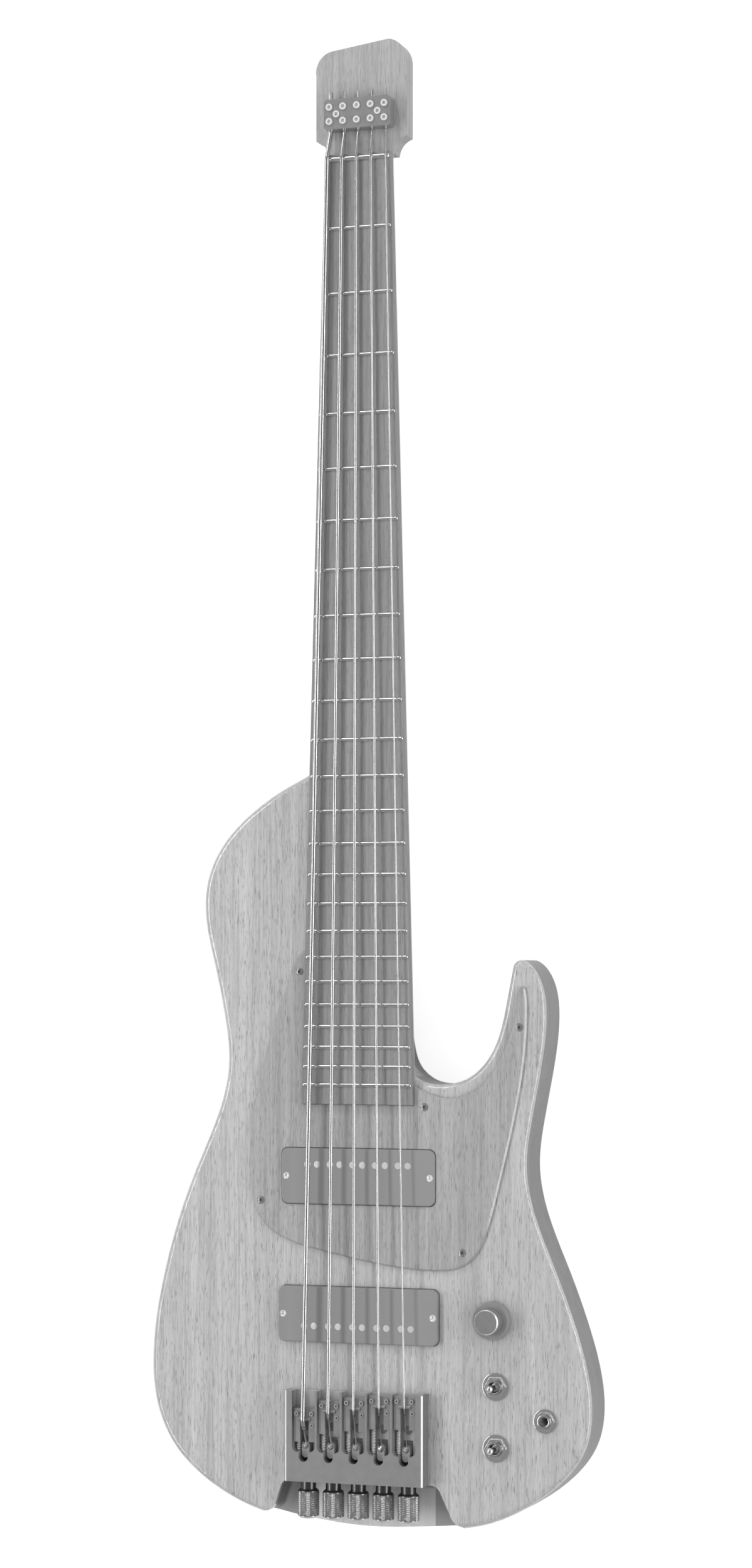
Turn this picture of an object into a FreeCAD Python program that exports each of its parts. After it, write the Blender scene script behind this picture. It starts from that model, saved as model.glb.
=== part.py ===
"""Headless five-string electric bass, as a parametric document of separate pieces.

Frame: X to the treble side, Y towards the headstock, Z out of the front. The origin lies on the
back of the body, under the point of the neck's centre line where the scale ends at the bridge.
"""
import FreeCAD
import Part
import Sketcher
import math
import os
import re

os.makedirs("parts", exist_ok=True)
doc = FreeCAD.newDocument("electric_bass")
Vector = FreeCAD.Vector
UP = Vector(0, 0, 1)
ALONG = Vector(0, 1, 0)
ACROSS = Vector(1, 0, 0)

# Driving sizes in millimetres
SIZES = {
    # Clearances and cuts
    "overrun": 5.0,
    "shaft_gap": 0.05,
    "seat_gap": 0.3,
    "side_gap": 0.4,
    # Body
    "body_width": 325.2,
    "body_length": 532.0,
    "body_thickness": 39.0,
    "edge_round": 4.0,
    # Neck, fingerboard and headstock
    "scale_length": 863.6,
    "board_thickness": 6.0,
    "board_end": 202.5,
    "board_end_width": 82.1,
    "nut_width": 48.2,
    "nut_overhang": 3.2,
    "neck_depth_nut": 15.0,
    "neck_depth_heel": 18.0,
    "heel_depth": 22.0,
    "head_width": 67.3,
    "head_length": 81.0,
    "head_drop": 2.5,
    "head_thickness": 13.0,
    "fret_width": 2.8,
    "fret_height": 1.2,
    "fret_inset": 0.4,
    "tang_width": 0.6,
    "tang_depth": 2.2,
    "zero_fret_width": 4.0,
    "zero_fret_height": 1.7,
    "truss_width": 6.0,
    "truss_depth": 9.6,
    "truss_rod_radius": 2.6,
    "truss_block_length": 14.0,
    "truss_nut_margin": 14.0,
    # Neck bolts
    "bolt_radius": 2.5,
    "bolt_head_radius": 4.4,
    "bolt_head_height": 3.0,
    "bolt_reach": 34.0,
    "ferrule_radius": 7.5,
    "ferrule_height": 4.5,
    "ferrule_floor": 1.2,
    # String clamp
    "clamp_width": 48.6,
    "clamp_depth": 21.0,
    "clamp_height": 10.0,
    "clamp_setback": 20.9,
    "clamp_corner": 2.2,
    "clamp_string_height": 6.7,
    "string_pitch_clamp": 10.15,
    "set_screw_radius": 2.4,
    "set_screw_spacing": 10.0,
    "set_screw_rise": 1.2,
    "set_screw_hex": 1.45,
    "set_screw_hex_depth": 2.0,
    "clamp_bolt_spacing": 30.45,
    "clamp_bolt_radius": 1.5,
    "clamp_bolt_head": 2.4,
    "clamp_bolt_head_height": 3.4,
    "clamp_bolt_rise": 0.6,
    "clamp_bolt_reach": 9.0,
    # Strings
    "string_pitch_nut": 10.45,
    "string_pitch_bridge": 18.52,
    "string_b_diameter": 3.3,
    "string_e_diameter": 2.54,
    "string_a_diameter": 2.03,
    "string_d_diameter": 1.65,
    "string_g_diameter": 1.14,
    "string_stub": 5.5,
    "string_bend": 6.0,
    "string_winding_tail": 5.0,
    "ball_radius": 2.0,
    "ball_height": 4.0,
    # Pickguard
    "guard_thickness": 2.5,
    "guard_bevel": 1.2,
    "guard_gap": 0.4,
    "guard_screw_gap": 2.0,
    "panel_screw_radius": 1.4,
    "panel_screw_head": 2.9,
    "panel_screw_head_height": 1.6,
    "panel_screw_dome": 0.4,
    "panel_screw_length": 12.0,
    # Pickups
    "neck_pickup_length": 113.5,
    "bridge_pickup_length": 118.0,
    "pickup_width": 39.4,
    "pickup_height": 21.0,
    "pickup_rise": 4.0,
    "pickup_corner": 5.0,
    "pickup_edge": 1.0,
    "neck_pickup_place": 151.8,
    "bridge_pickup_place": 54.7,
    "pole_offset": 8.2,
    "pole_pair": 7.15,
    "pole_radius": 2.4,
    "pole_length": 14.0,
    "pole_rise": 0.15,
    "neck_pole_pitch": 16.74,
    "bridge_pole_pitch": 17.9,
    "pickup_screw_inset": 3.7,
    "pickup_screw_radius": 1.2,
    "pickup_screw_head": 2.4,
    "pickup_screw_head_height": 1.6,
    "pickup_screw_bite": 9.0,
    # Bridge
    "bridge_width": 102.2,
    "bridge_length": 63.6,
    "bridge_front": 1.6,
    "bridge_height": 12.5,
    "bridge_recess": 7.0,
    "bridge_bevel": 1.3,
    "channel_width": 17.0,
    "channel_floor": 2.0,
    "channel_end": 41.2,
    "channel_corner": 4.0,
    "slot_width": 6.9,
    "slot_end": 48.0,
    "tunnel_front": 31.0,
    "tunnel_end": 57.0,
    "tunnel_height": 10.6,
    "bridge_screw_radius": 1.6,
    "bridge_screw_head": 3.2,
    "bridge_screw_head_height": 2.0,
    "bridge_screw_length": 20.0,
    "bridge_screw_setback": 24.0,
    # Saddles
    "saddle_b_setback": 14.4,
    "saddle_e_setback": 8.3,
    "saddle_a_setback": 5.6,
    "saddle_d_setback": 3.4,
    "saddle_g_setback": 3.0,
    "saddle_lead": 3.5,
    "saddle_tail": 20.0,
    "saddle_height": 7.7,
    "saddle_slot": 6.3,
    "contact_back": 4.0,
    "contact_land": 1.0,
    "crown_radius": 1.2,
    "crown_rise": 1.0,
    "crown_width": 9.0,
    "height_screw_offset": 5.5,
    "height_screw_radius": 1.5,
    "height_screw_rise": 1.6,
    "height_screw_hex": 0.85,
    "height_screw_hex_depth": 1.5,
    "lock_screw_back": 8.4,
    "lock_screw_rise": 0.4,
    "adjuster_radius": 1.0,
    "adjuster_height": 4.0,
    "adjuster_head": 1.8,
    "adjuster_head_height": 2.5,
    "adjuster_reach": 9.0,
    "adjuster_bore_depth": 14.5,
    "spring_wire": 0.5,
    "spring_radius": 1.45,
    "spring_pitch": 1.05,
    "spring_lead": 0.8,
    # Tuners
    "tuner_height": 1.3,
    "tuner_screw_radius": 1.5,
    "tuner_screw_tip": 35.6,
    "tuner_collar_radius": 5.4,
    "tuner_collar_length": 5.8,
    "tuner_knob_radius": 7.35,
    "tuner_knob_length": 20.2,
    "tuner_knob_bevel": 1.3,
    "carriage_width": 5.6,
    "carriage_length": 11.4,
    "carriage_height": 9.8,
    "carriage_wall": 0.45,
    "carriage_slot": 2.3,
    "ball_setback": 37.0,
    "ball_seat": 0.5,
    # Tail notch
    "notch_floor": 16.0,
    "notch_cove": 5.0,
    # Controls
    "cavity_roof": 6.0,
    "cavity_corner": 8.0,
    "cover_lip": 8.0,
    "cover_thickness": 2.5,
    "cover_screw_radius": 1.2,
    "cover_screw_head": 2.5,
    "cover_screw_length": 9.0,
    "cover_screw_head_height": 1.3,
    "pot_radius": 8.5,
    "pot_height": 19.0,
    "pot_bushing_radius": 4.7,
    "pot_bushing_rise": 3.4,
    "outer_shaft_radius": 3.0,
    "inner_shaft_radius": 2.0,
    "shaft_depth": 7.0,
    "ring_radius": 13.5,
    "ring_top_radius": 12.4,
    "ring_rise": 0.5,
    "ring_height": 6.5,
    "ring_hollow_radius": 9.6,
    "ring_hollow_depth": 4.0,
    "knob_radius": 9.4,
    "knob_top_radius": 8.7,
    "knob_height": 9.0,
    "knob_bevel": 0.7,
    "toggle_width": 15.0,
    "toggle_length": 28.0,
    "toggle_depth": 20.0,
    "toggle_bushing_radius": 5.0,
    "toggle_bushing_rise": 6.0,
    "toggle_pivot_rise": 1.0,
    "toggle_pivot_radius": 3.6,
    "toggle_bore_depth": 5.5,
    "lever_root_radius": 1.5,
    "lever_tip_radius": 2.3,
    "lever_rise": 14.6,
    "lever_pin_radius": 0.9,
    "jack_radius": 9.0,
    "jack_depth": 24.0,
    "jack_bushing_radius": 4.7,
    "jack_bushing_rise": 4.6,
    "jack_bore_radius": 3.25,
    "washer_thickness": 1.0,
    "nut_thickness": 2.2,
    "toggle_washer_radius": 9.7,
    "toggle_nut_radius": 7.9,
    "jack_washer_radius": 8.5,
    "jack_nut_radius": 7.2,
    "pot_washer_radius": 7.6,
    "pot_nut_radius": 7.0,
    # Strap cups and wiring
    "cup_radius": 6.8,
    "cup_depth": 16.0,
    "cup_bore_radius": 4.05,
    "cup_floor": 2.0,
    "cup_sink": 0.8,
    "wire_radius": 1.2,
    "wire_height": 27.0,
    "wire_shift": 10.0,
    "wire_start_gap": 3.5,
    "earth_drop": 3.0,
}

# Outlines as shares of body_width and body_length, clockwise from the bass side of the neck
BODY_SHARES = [
    (-0.188, 0.793), (-0.278, 0.752), (-0.332, 0.711), (-0.357, 0.669), (-0.359, 0.627),
    (-0.338, 0.564), (-0.313, 0.489), (-0.305, 0.439), (-0.324, 0.376), (-0.382, 0.291),
    (-0.432, 0.207), (-0.467, 0.122), (-0.483, 0.037), (-0.472, -0.026), (-0.432, -0.079),
    (-0.348, -0.127), (-0.246, -0.158), (-0.129, -0.174), (0.015, -0.181), (0.157, -0.176),
    (0.289, -0.164), (0.372, -0.141), (0.455, -0.103), (0.501, -0.064), (0.517, -0.017),
    (0.508, 0.037), (0.480, 0.098), (0.437, 0.168), (0.391, 0.240), (0.373, 0.301), (0.384, 0.363),
    (0.403, 0.425), (0.416, 0.498), (0.403, 0.545), (0.3755, 0.567), (0.365, 0.570), (0.353, 0.5695),
    (0.344, 0.5645), (0.341, 0.558), (0.330, 0.523), (0.308, 0.467), (0.276, 0.433), (0.235, 0.414),
    (0.193, 0.4078), (0.1615, 0.4083), (0.1384, 0.4126), (0.1245, 0.4179), (0.1107, 0.4257),
    (0.0999, 0.4361), (0.0923, 0.4511), (0.0870, 0.4699), (0.0815, 0.4925), (0.060, 0.541),
    (0.036, 0.620), (0.008, 0.702), (-0.018, 0.771), (-0.049, 0.812), (-0.086, 0.822), (-0.129, 0.812),
]
GUARD_SHARES = [
    (-0.121, 0.584), (-0.148, 0.568), (-0.162, 0.541), (-0.184, 0.505), (-0.220, 0.431),
    (-0.246, 0.359), (-0.250, 0.295), (-0.243, 0.253), (-0.218, 0.223), (-0.173, 0.203),
    (-0.079, 0.186), (0.053, 0.170), (0.174, 0.164), (0.224, 0.168), (0.260, 0.183), (0.291, 0.221),
    (0.318, 0.283), (0.345, 0.352), (0.365, 0.416), (0.376, 0.480), (0.3765, 0.515), (0.3735, 0.531),
    (0.370, 0.535), (0.3622, 0.535), (0.3585, 0.531), (0.3545, 0.512), (0.338, 0.475), (0.313, 0.440),
    (0.290, 0.418), (0.272, 0.406), (0.249, 0.398), (0.222, 0.392), (0.190, 0.391), (0.157, 0.397),
    (0.131, 0.404), (0.062, 0.442), (-0.046, 0.536), (-0.092, 0.579),
]
GUARD_SCREW_SHARES = [(0.361, 0.483), (-0.223, 0.252), (0.235, 0.189)]
NECK_SCREW_SHARE = 0.555
PICKUP_SCREW_SHARES = (0.150, 0.400)
PICKUP_SCREW_RISE_SHARE = 0.717
CAVITY_SHARES = [
    (0.246, 0.139), (0.360, 0.139), (0.458, 0.015), (0.467, -0.056), (0.418, -0.098), (0.246, -0.098),
]
POT_SHARES = (0.300, 0.102)
TOGGLE_SHARES = [(0.308, 0.016), (0.309, -0.064)]
JACK_SHARES = (0.417, -0.026)
CUP_SHARES = [(-0.348, 0.690), (-0.391, -0.108)]

# Neck bolts as shares of board_end_width across and of the heel's length along
NECK_BOLT_SHARES = [(-0.30, 0.09), (0.30, 0.09), (-0.29, 0.34), (0.15, 0.34), (-0.27, 0.60)]

# Headstock corners as shares of head_width and head_length, from the bass side of the neck upwards
HEAD_SCOOP_SHARES = [(-0.376, 0.057), (-0.4175, 0.115), (-0.5, 0.154)]
HEAD_BASS_CORNER_SHARES = [(-0.5, 0.72), (-0.466, 0.853), (-0.345, 0.925)]
HEAD_TREBLE_CORNER_SHARES = [(0.30, 0.995), (0.437, 0.93), (0.5, 0.80)]
HEAD_TREBLE_SCOOP_SHARES = [(0.5, 0.147), (0.4145, 0.106), (0.3605, 0.020)]

# Tail notch, across in shares of bridge_width and down from the bridge in shares of bridge_length
NOTCH_BASS_FLARE_SHARES = [(-0.700, 0.370), (-0.632, 0.335), (-0.612, 0.285)]
NOTCH_BASS_CORNER_SHARES = [(-0.575, 0.105), (-0.554, 0.038), (-0.510, 0.0)]
NOTCH_TREBLE_CORNER_SHARES = [(0.520, 0.0), (0.563, 0.030), (0.588, 0.095)]
NOTCH_TREBLE_FLARE_SHARES = [(0.650, 0.300), (0.683, 0.392), (0.740, 0.440)]
NOTCH_MOUTH_SHARE = 1.0

TAIL_RADIUS_SHARE = 0.5
TUBE_MARGIN_SHARE = 0.2
FRET_COUNT = 24
FRETS_PER_OCTAVE = 12
STRING_NAMES = ["b", "e", "a", "d", "g"]
QUARTERS = 4
OUTLINE_EDGES = 12
UPRIGHT_COSINE = 0.9998
STRAIGHT_SINE = 0.002


def write_sheet():
    """Put every driving size in its own cell, under its own alias."""
    table = doc.addObject("Spreadsheet::Sheet", "Sizes")
    for row, (alias, value) in enumerate(SIZES.items(), start=1):
        table.set("A%d" % row, alias)
        table.set("B%d" % row, str(value))
        table.setAlias("B%d" % row, alias)
    doc.recompute()
    return table


sheet = write_sheet()
ALIAS_WORDS = re.compile(r"\b(%s)\b" % "|".join(sorted(SIZES, key=len, reverse=True)))


def size(alias):
    """The value of one cell of the sheet."""
    return float(sheet.get(alias))


def named(expression):
    """An expression in aliases, with the sheet's name before each."""
    return ALIAS_WORDS.sub(r"Sizes.\1", str(expression))


def value_of(expression):
    """The number that an expression in aliases stands for."""
    return float(sheet.evalExpression(ALIAS_WORDS.sub(r"\1", str(expression))))


def bind(item, prop, expression):
    """Tie one property of an object to the sheet."""
    item.setExpression(prop, named(expression))


def place(item, base, rotation=None):
    """Set an object's rotation and tie its position to the sheet."""
    item.Placement = FreeCAD.Placement(Vector(0, 0, 0), rotation or FreeCAD.Rotation())
    for axis, expression in zip("xyz", base):
        bind(item, "Placement.Base.%s" % axis, expression)
    return item


def box(name, low, high):
    """A block between two corners."""
    item = doc.addObject("Part::Box", name)
    for prop, start, end in zip(("Length", "Width", "Height"), low, high):
        bind(item, prop, "(%s) - (%s)" % (end, start))
    return place(item, low)


def rod(name, radius, length, base, axis=UP):
    """A cylinder from a base point along an axis."""
    item = doc.addObject("Part::Cylinder", name)
    bind(item, "Radius", radius)
    bind(item, "Height", length)
    return place(item, base, FreeCAD.Rotation(UP, axis))


def hexagon(name, radius, height, base):
    """A six-sided prism standing on a base point."""
    item = doc.addObject("Part::Prism", name)
    item.Polygon = 6
    bind(item, "Circumradius", radius)
    bind(item, "Height", height)
    return place(item, base)


def cut(name, base, tool):
    """One object less another."""
    item = doc.addObject("Part::Cut", name)
    item.Base = base
    item.Tool = tool
    return item


def fuse(name, items):
    """Several objects joined in one solid."""
    item = doc.addObject("Part::MultiFuse", name)
    item.Shapes = items
    return item


def feature(name, shape):
    """An object whose shape is made with the sizes read from the sheet."""
    item = doc.addObject("Part::Feature", name)
    item.Shape = shape
    item.Placement = FreeCAD.Placement()
    return item


def extruded(name, wire, low, high):
    """A closed wire drawn on the XY plane, raised between two heights."""
    item = doc.addObject("Part::Extrusion", name)
    item.Base = feature(name + "_outline", wire)
    item.DirMode = "Custom"
    item.Dir = UP
    item.Solid = True
    bind(item, "LengthFwd", "(%s) - (%s)" % (high, low))
    return place(item, ("0", "0", low))


def turned(name, profile):
    """A solid of revolution about its own Z axis, from radius and height pairs."""
    body = doc.addObject("PartDesign::Body", name)
    plane = [item for item in body.Origin.OriginFeatures if item.Role == "XZ_Plane"][0]
    sketch = body.newObject("Sketcher::SketchObject", name + "_profile")
    sketch.AttachmentSupport = [(plane, "")]
    sketch.MapMode = "FlatFace"
    points = [Vector(value_of(radius), value_of(height), 0) for radius, height in profile]
    count = len(points)
    for index in range(count):
        sketch.addGeometry(Part.LineSegment(points[index], points[(index + 1) % count]), False)
    for index in range(count):
        sketch.addConstraint(Sketcher.Constraint("Coincident", index, 2, (index + 1) % count, 1))
    for index, (radius, height) in enumerate(profile):
        for kind, expression, axis, number in (
            ("DistanceX", radius, -2, points[index].x),
            ("DistanceY", height, -1, points[index].y),
        ):
            if expression == "0":
                sketch.addConstraint(Sketcher.Constraint("PointOnObject", index, 1, axis))
            else:
                datum = sketch.addConstraint(Sketcher.Constraint(kind, -1, 1, index, 1, number))
                bind(sketch, "Constraints[%d]" % datum, expression)
    turn = body.newObject("PartDesign::Revolution", name + "_turn")
    turn.Profile = sketch
    turn.ReferenceAxis = (sketch, ["V_Axis"])
    return body


def rounded(name, base, radius, choose, kind="Part::Fillet"):
    """The edges that a test picks, rounded or bevelled by one size."""
    doc.recompute()
    item = doc.addObject(kind, name)
    item.Base = base
    reach = size(radius)
    item.Edges = [
        (index, reach, reach) for index, edge in enumerate(base.Shape.Edges, start=1) if choose(edge)
    ]
    return item


def is_upright(edge):
    """An edge that runs along Z."""
    start, end = edge.Vertexes[0].Point, edge.Vertexes[-1].Point
    return (end - start).Length > 0 and abs((end - start).normalize().z) > UPRIGHT_COSINE


def lies_at(height):
    """A test for edges that lie flat at one height."""
    level = value_of(height)
    tolerance = size("shaft_gap")

    def test(edge):
        bounds = edge.BoundBox
        return abs(bounds.ZMin - level) < tolerance and abs(bounds.ZMax - level) < tolerance

    return test


def copies(name, master, places):
    """Copies of one solid at a list of places, kept together as one node."""
    return placed(name, [(master, point) for point in places])


def placed(name, pairs):
    """Copies of several solids, each at its place, kept together as one node."""
    doc.recompute()
    solids = []
    for master, point in pairs:
        solid = master.Shape.copy()
        solid.translate(point)
        solids.append(solid)
    return feature(name, Part.makeCompound(solids))


def joined(name, items):
    """Finished pieces kept together as one node of separate solids."""
    item = doc.addObject("Part::Compound", name)
    item.Links = items
    return item


def on_body(shares):
    """A point on the plan, from shares of the body's width and length."""
    return Vector(shares[0] * size("body_width"), shares[1] * size("body_length"), 0)


def smooth_wire(points):
    """A closed smooth curve through a list of points, in several edges."""
    curve = Part.BSplineCurve()
    curve.interpolate(Points=points, PeriodicFlag=True)
    step = (curve.LastParameter - curve.FirstParameter) / OUTLINE_EDGES
    starts = [curve.FirstParameter + step * number for number in range(OUTLINE_EDGES)]
    return Part.Wire([curve.toShape(start, start + step) for start in starts])


def chain(pieces):
    """A closed wire from three-point arcs, joined by straight lines in turn."""
    edges = []
    for index, piece in enumerate(pieces):
        if len(piece) > 1:
            edges.append(Part.Arc(*piece).toShape())
        following = pieces[(index + 1) % len(pieces)][0]
        if (following - piece[-1]).Length > size("shaft_gap"):
            edges.append(Part.makeLine(piece[-1], following))
    return Part.Wire(edges)


def soft_polygon(points, radius):
    """A closed polygon with each corner rounded."""
    pieces = []
    count = len(points)
    for index, corner in enumerate(points):
        before = (points[index - 1] - corner).normalize()
        after = (points[(index + 1) % count] - corner).normalize()
        half = before.getAngle(after) / 2
        reach = radius / math.tan(half)
        centre = corner + (before + after).normalize() * (radius / math.sin(half))
        inward = (corner - centre).normalize()
        pieces.append((corner + before * reach, centre + inward * radius, corner + after * reach))
    return chain(pieces)


def half_width(along):
    """Half the fingerboard's width at a place on its length."""
    share = (size("scale_length") - along) / (size("scale_length") - size("board_end"))
    return (size("nut_width") + (size("board_end_width") - size("nut_width")) * share) / 2


def neck_plan(margin):
    """The fingerboard's plan, widened by a margin."""
    start = size("board_end") - margin
    end = value_of(BOARD_START)
    corners = [
        Vector(-half_width(start) - margin, start, 0),
        Vector(half_width(start) + margin, start, 0),
        Vector(half_width(end) + margin, end, 0),
        Vector(-half_width(end) - margin, end, 0),
    ]
    return Part.makePolygon(corners + corners[:1])


def is_one_solid(shape):
    """A shape that is one valid solid."""
    return shape.isValid() and len(shape.Solids) == 1


# Heights and places that several pieces share
FRONT = "body_thickness"
BOARD_TOP = "body_thickness + board_thickness"
BOARD_START = "scale_length + nut_overhang"
HEAD_FACE = "body_thickness - head_drop"
CLAMP_FRONT = "scale_length + clamp_setback"
CLAMP_TOP = HEAD_FACE + " + clamp_height"
CLAMP_STRING = HEAD_FACE + " + clamp_string_height"
BRIDGE_TOP = "body_thickness + bridge_height"
BRIDGE_BOTTOM = "body_thickness - bridge_recess"
BRIDGE_BACK = "bridge_front - bridge_length"
CHANNEL_FLOOR = "body_thickness + channel_floor"
SADDLE_BOTTOM = CHANNEL_FLOOR + " + side_gap"
SADDLE_TOP = SADDLE_BOTTOM + " + saddle_height"
CROWN_TOP = SADDLE_TOP + " + crown_rise"
ADJUSTER = CHANNEL_FLOOR + " + adjuster_height"
TUNER = "body_thickness + tuner_height"
CARRIAGE_BOTTOM = TUNER + " + tuner_screw_radius + ball_seat + ball_height - carriage_height"
CARRIAGE_TOP = TUNER + " + tuner_screw_radius + ball_seat + ball_height"
TUNNEL_FLOOR = CARRIAGE_BOTTOM + " - seat_gap"
BALL_BOTTOM = TUNER + " + tuner_screw_radius + ball_seat"
CAVITY_TOP = "body_thickness - cavity_roof"
PICKUP_TOP = "body_thickness + pickup_rise"
PICKUP_BOTTOM = PICKUP_TOP + " - pickup_height"
GUARD_TOP = "body_thickness + guard_thickness"
WASHER_TOP = "body_thickness + washer_thickness"
TOGGLE_PIVOT = "body_thickness + toggle_pivot_rise"


def string_rank(index):
    """The string's number counted from the middle one."""
    return index - STRING_NAMES.index("a")


def at_bridge(index):
    """The string's place across the bridge."""
    return "%d * string_pitch_bridge" % string_rank(index)


def setback(index):
    """The place of a saddle's height screws along the body."""
    return "-saddle_%s_setback" % STRING_NAMES[index]


def contact(index):
    """The place where a string lies on its saddle."""
    return setback(index) + " - contact_back"


# Fasteners


def panel_screw(name, radius, head, head_height, dome, length):
    """A countersunk screw, tip down, with the rim of its head at its own height zero."""
    profile = [
        ("0", "0"),
        (radius, "0"),
        (radius, "%s - %s" % (length, head_height)),
        (head, length),
        ("%s / 2" % head, "%s + %s" % (length, dome)),
        ("0", "%s + %s" % (length, dome)),
    ]
    return turned(name, profile)


def socket_screw(name, radius, length, hexagon_radius, hexagon_depth):
    """A headless screw with a hexagon socket, standing on its tip, and the hole that it fills."""
    shank = rod(name + "_shank", radius, length, ("0", "0", "0"))
    socket = hexagon(name + "_socket", hexagon_radius, "%s + overrun" % hexagon_depth,
                     ("0", "0", "(%s) - (%s)" % (length, hexagon_depth)))
    return cut(name, shank, socket), shank


def make_clamp_screws():
    """Two set screws on each string in the clamp, each as long as its string leaves room for."""
    screws = []
    holes = []
    for index, name in enumerate(STRING_NAMES):
        foot = CLAMP_STRING + " + string_%s_diameter / 2 + shaft_gap" % name
        length = "(%s) + set_screw_rise - (%s)" % (CLAMP_TOP, foot)
        screw, hole = socket_screw("set_screw_" + name, "set_screw_radius", length,
                                   "set_screw_hex", "set_screw_hex_depth")
        across = string_rank(index) * size("string_pitch_clamp")
        for row in (-1, 1):
            along = value_of("%s + clamp_depth / 2 + %d * set_screw_spacing / 2" % (CLAMP_FRONT, row))
            point = Vector(across, along, value_of(foot))
            screws.append((screw, point))
            holes.append((hole, point))
    return placed("clamp_set_screws", screws), placed("set_screw_holes", holes)


def make_clamp_bolts():
    """Two socket bolts that hold the clamp on the headstock."""
    shaft = "clamp_bolt_reach + clamp_height - clamp_bolt_head_height + clamp_bolt_rise"
    bolt = turned("clamp_bolt", [
        ("0", "0"),
        ("clamp_bolt_radius", "0"),
        ("clamp_bolt_radius", shaft),
        ("clamp_bolt_head", shaft),
        ("clamp_bolt_head", shaft + " + clamp_bolt_head_height"),
        ("0", shaft + " + clamp_bolt_head_height"),
    ])
    socket = hexagon("clamp_bolt_socket", "set_screw_hex", "set_screw_hex_depth + overrun",
                     ("0", "0", shaft + " + clamp_bolt_head_height - set_screw_hex_depth"))
    master = cut("clamp_bolt_cut", bolt, socket)
    middle = value_of(CLAMP_FRONT + " + clamp_depth / 2")
    foot = value_of(HEAD_FACE + " - clamp_bolt_reach")
    half = size("clamp_bolt_spacing") / 2
    places = [Vector(-half, middle, foot), Vector(half, middle, foot)]
    return copies("clamp_bolts", master, places), copies("clamp_bolt_holes", bolt, places)


def neck_bolt_places():
    """The neck bolts on the plan."""
    heel = value_of("scale_length / 2") - size("board_end")
    return [
        Vector(across * size("board_end_width"), size("board_end") + along * heel, 0)
        for across, along in NECK_BOLT_SHARES
    ]


def make_neck_bolts():
    """Bolts from the back of the body into the heel."""
    head_top = "ferrule_height - ferrule_floor"
    master = turned("neck_bolt", [
        ("0", head_top + " - bolt_head_height"),
        ("bolt_head_radius", head_top + " - bolt_head_height"),
        ("bolt_head_radius", head_top),
        ("bolt_radius", head_top),
        ("bolt_radius", "bolt_reach"),
        ("0", "bolt_reach"),
    ])
    return copies("neck_bolts", master, neck_bolt_places())


def make_neck_ferrules():
    """A recessed ring under each neck bolt's head."""
    floor = "ferrule_height - ferrule_floor"
    master = turned("neck_ferrule", [
        ("bolt_head_radius + shaft_gap", "0"),
        ("ferrule_radius", "0"),
        ("ferrule_radius", "ferrule_height"),
        ("bolt_radius + shaft_gap", "ferrule_height"),
        ("bolt_radius + shaft_gap", floor),
        ("bolt_head_radius + shaft_gap", floor),
    ])
    return copies("neck_ferrules", master, neck_bolt_places())


def make_guard_screws():
    """The pickguard's screws."""
    master = panel_screw("guard_screw", "panel_screw_radius", "panel_screw_head",
                         "panel_screw_head_height", "panel_screw_dome", "panel_screw_length")
    foot = UP * value_of(GUARD_TOP + " - panel_screw_length")
    places = [on_body(shares) + foot for shares in GUARD_SCREW_SHARES]
    along = NECK_SCREW_SHARE * size("body_length")
    beside = half_width(along) + size("panel_screw_head") + size("guard_screw_gap")
    places.append(Vector(-beside, along, 0) + foot)
    edge = on_body(PICKUP_SCREW_SHARES)
    pickup_end = value_of("neck_pickup_place + pickup_width / 2")
    along = pickup_end + (edge.y - pickup_end) * PICKUP_SCREW_RISE_SHARE
    places.append(Vector(edge.x, along, 0) + foot)
    return copies("pickguard_screws", master, places)


PICKUPS = {
    "neck_pickup": ("neck_pickup_length", "neck_pickup_place", "neck_pole_pitch", 1),
    "bridge_pickup": ("bridge_pickup_length", "bridge_pickup_place", "bridge_pole_pitch", -1),
}


def make_pickup_screws():
    """One screw at each end of each pickup, flush with the cover and down into the wood under it."""
    length = "pickup_height + seat_gap + pickup_screw_bite"
    master = panel_screw("pickup_screw", "pickup_screw_radius", "pickup_screw_head",
                         "pickup_screw_head_height", "0", length)
    foot = value_of(PICKUP_TOP) - value_of(length)
    places = []
    for long_side, along, pitch, side in PICKUPS.values():
        reach = size(long_side) / 2 - size("pickup_screw_inset")
        for hand in (-1, 1):
            places.append(Vector(hand * reach, size(along), foot))
    return copies("pickup_screws", master, places)


def make_poles():
    """A pair of pole pieces under each string in each pickup."""
    master = rod("pole", "pole_radius", "pole_length", ("0", "0", "0"))
    foot = value_of(PICKUP_TOP + " + pole_rise - pole_length")
    places = []
    for long_side, along, pitch, side in PICKUPS.values():
        row = size(along) + side * size("pole_offset")
        for index in range(len(STRING_NAMES)):
            for hand in (-1, 1):
                across = string_rank(index) * size(pitch) + hand * size("pole_pair") / 2
                places.append(Vector(across, row, foot))
    return copies("pole_pieces", master, places)


def make_bridge_screws():
    """One wood screw in the floor of each channel, under the saddle."""
    master = panel_screw("bridge_screw", "bridge_screw_radius", "bridge_screw_head",
                         "bridge_screw_head_height", "0", "bridge_screw_length")
    foot = value_of(CHANNEL_FLOOR + " - bridge_screw_length")
    places = [
        Vector(value_of(at_bridge(index)), -size("bridge_screw_setback"), foot)
        for index in range(len(STRING_NAMES))
    ]
    return copies("bridge_screws", master, places)


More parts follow.
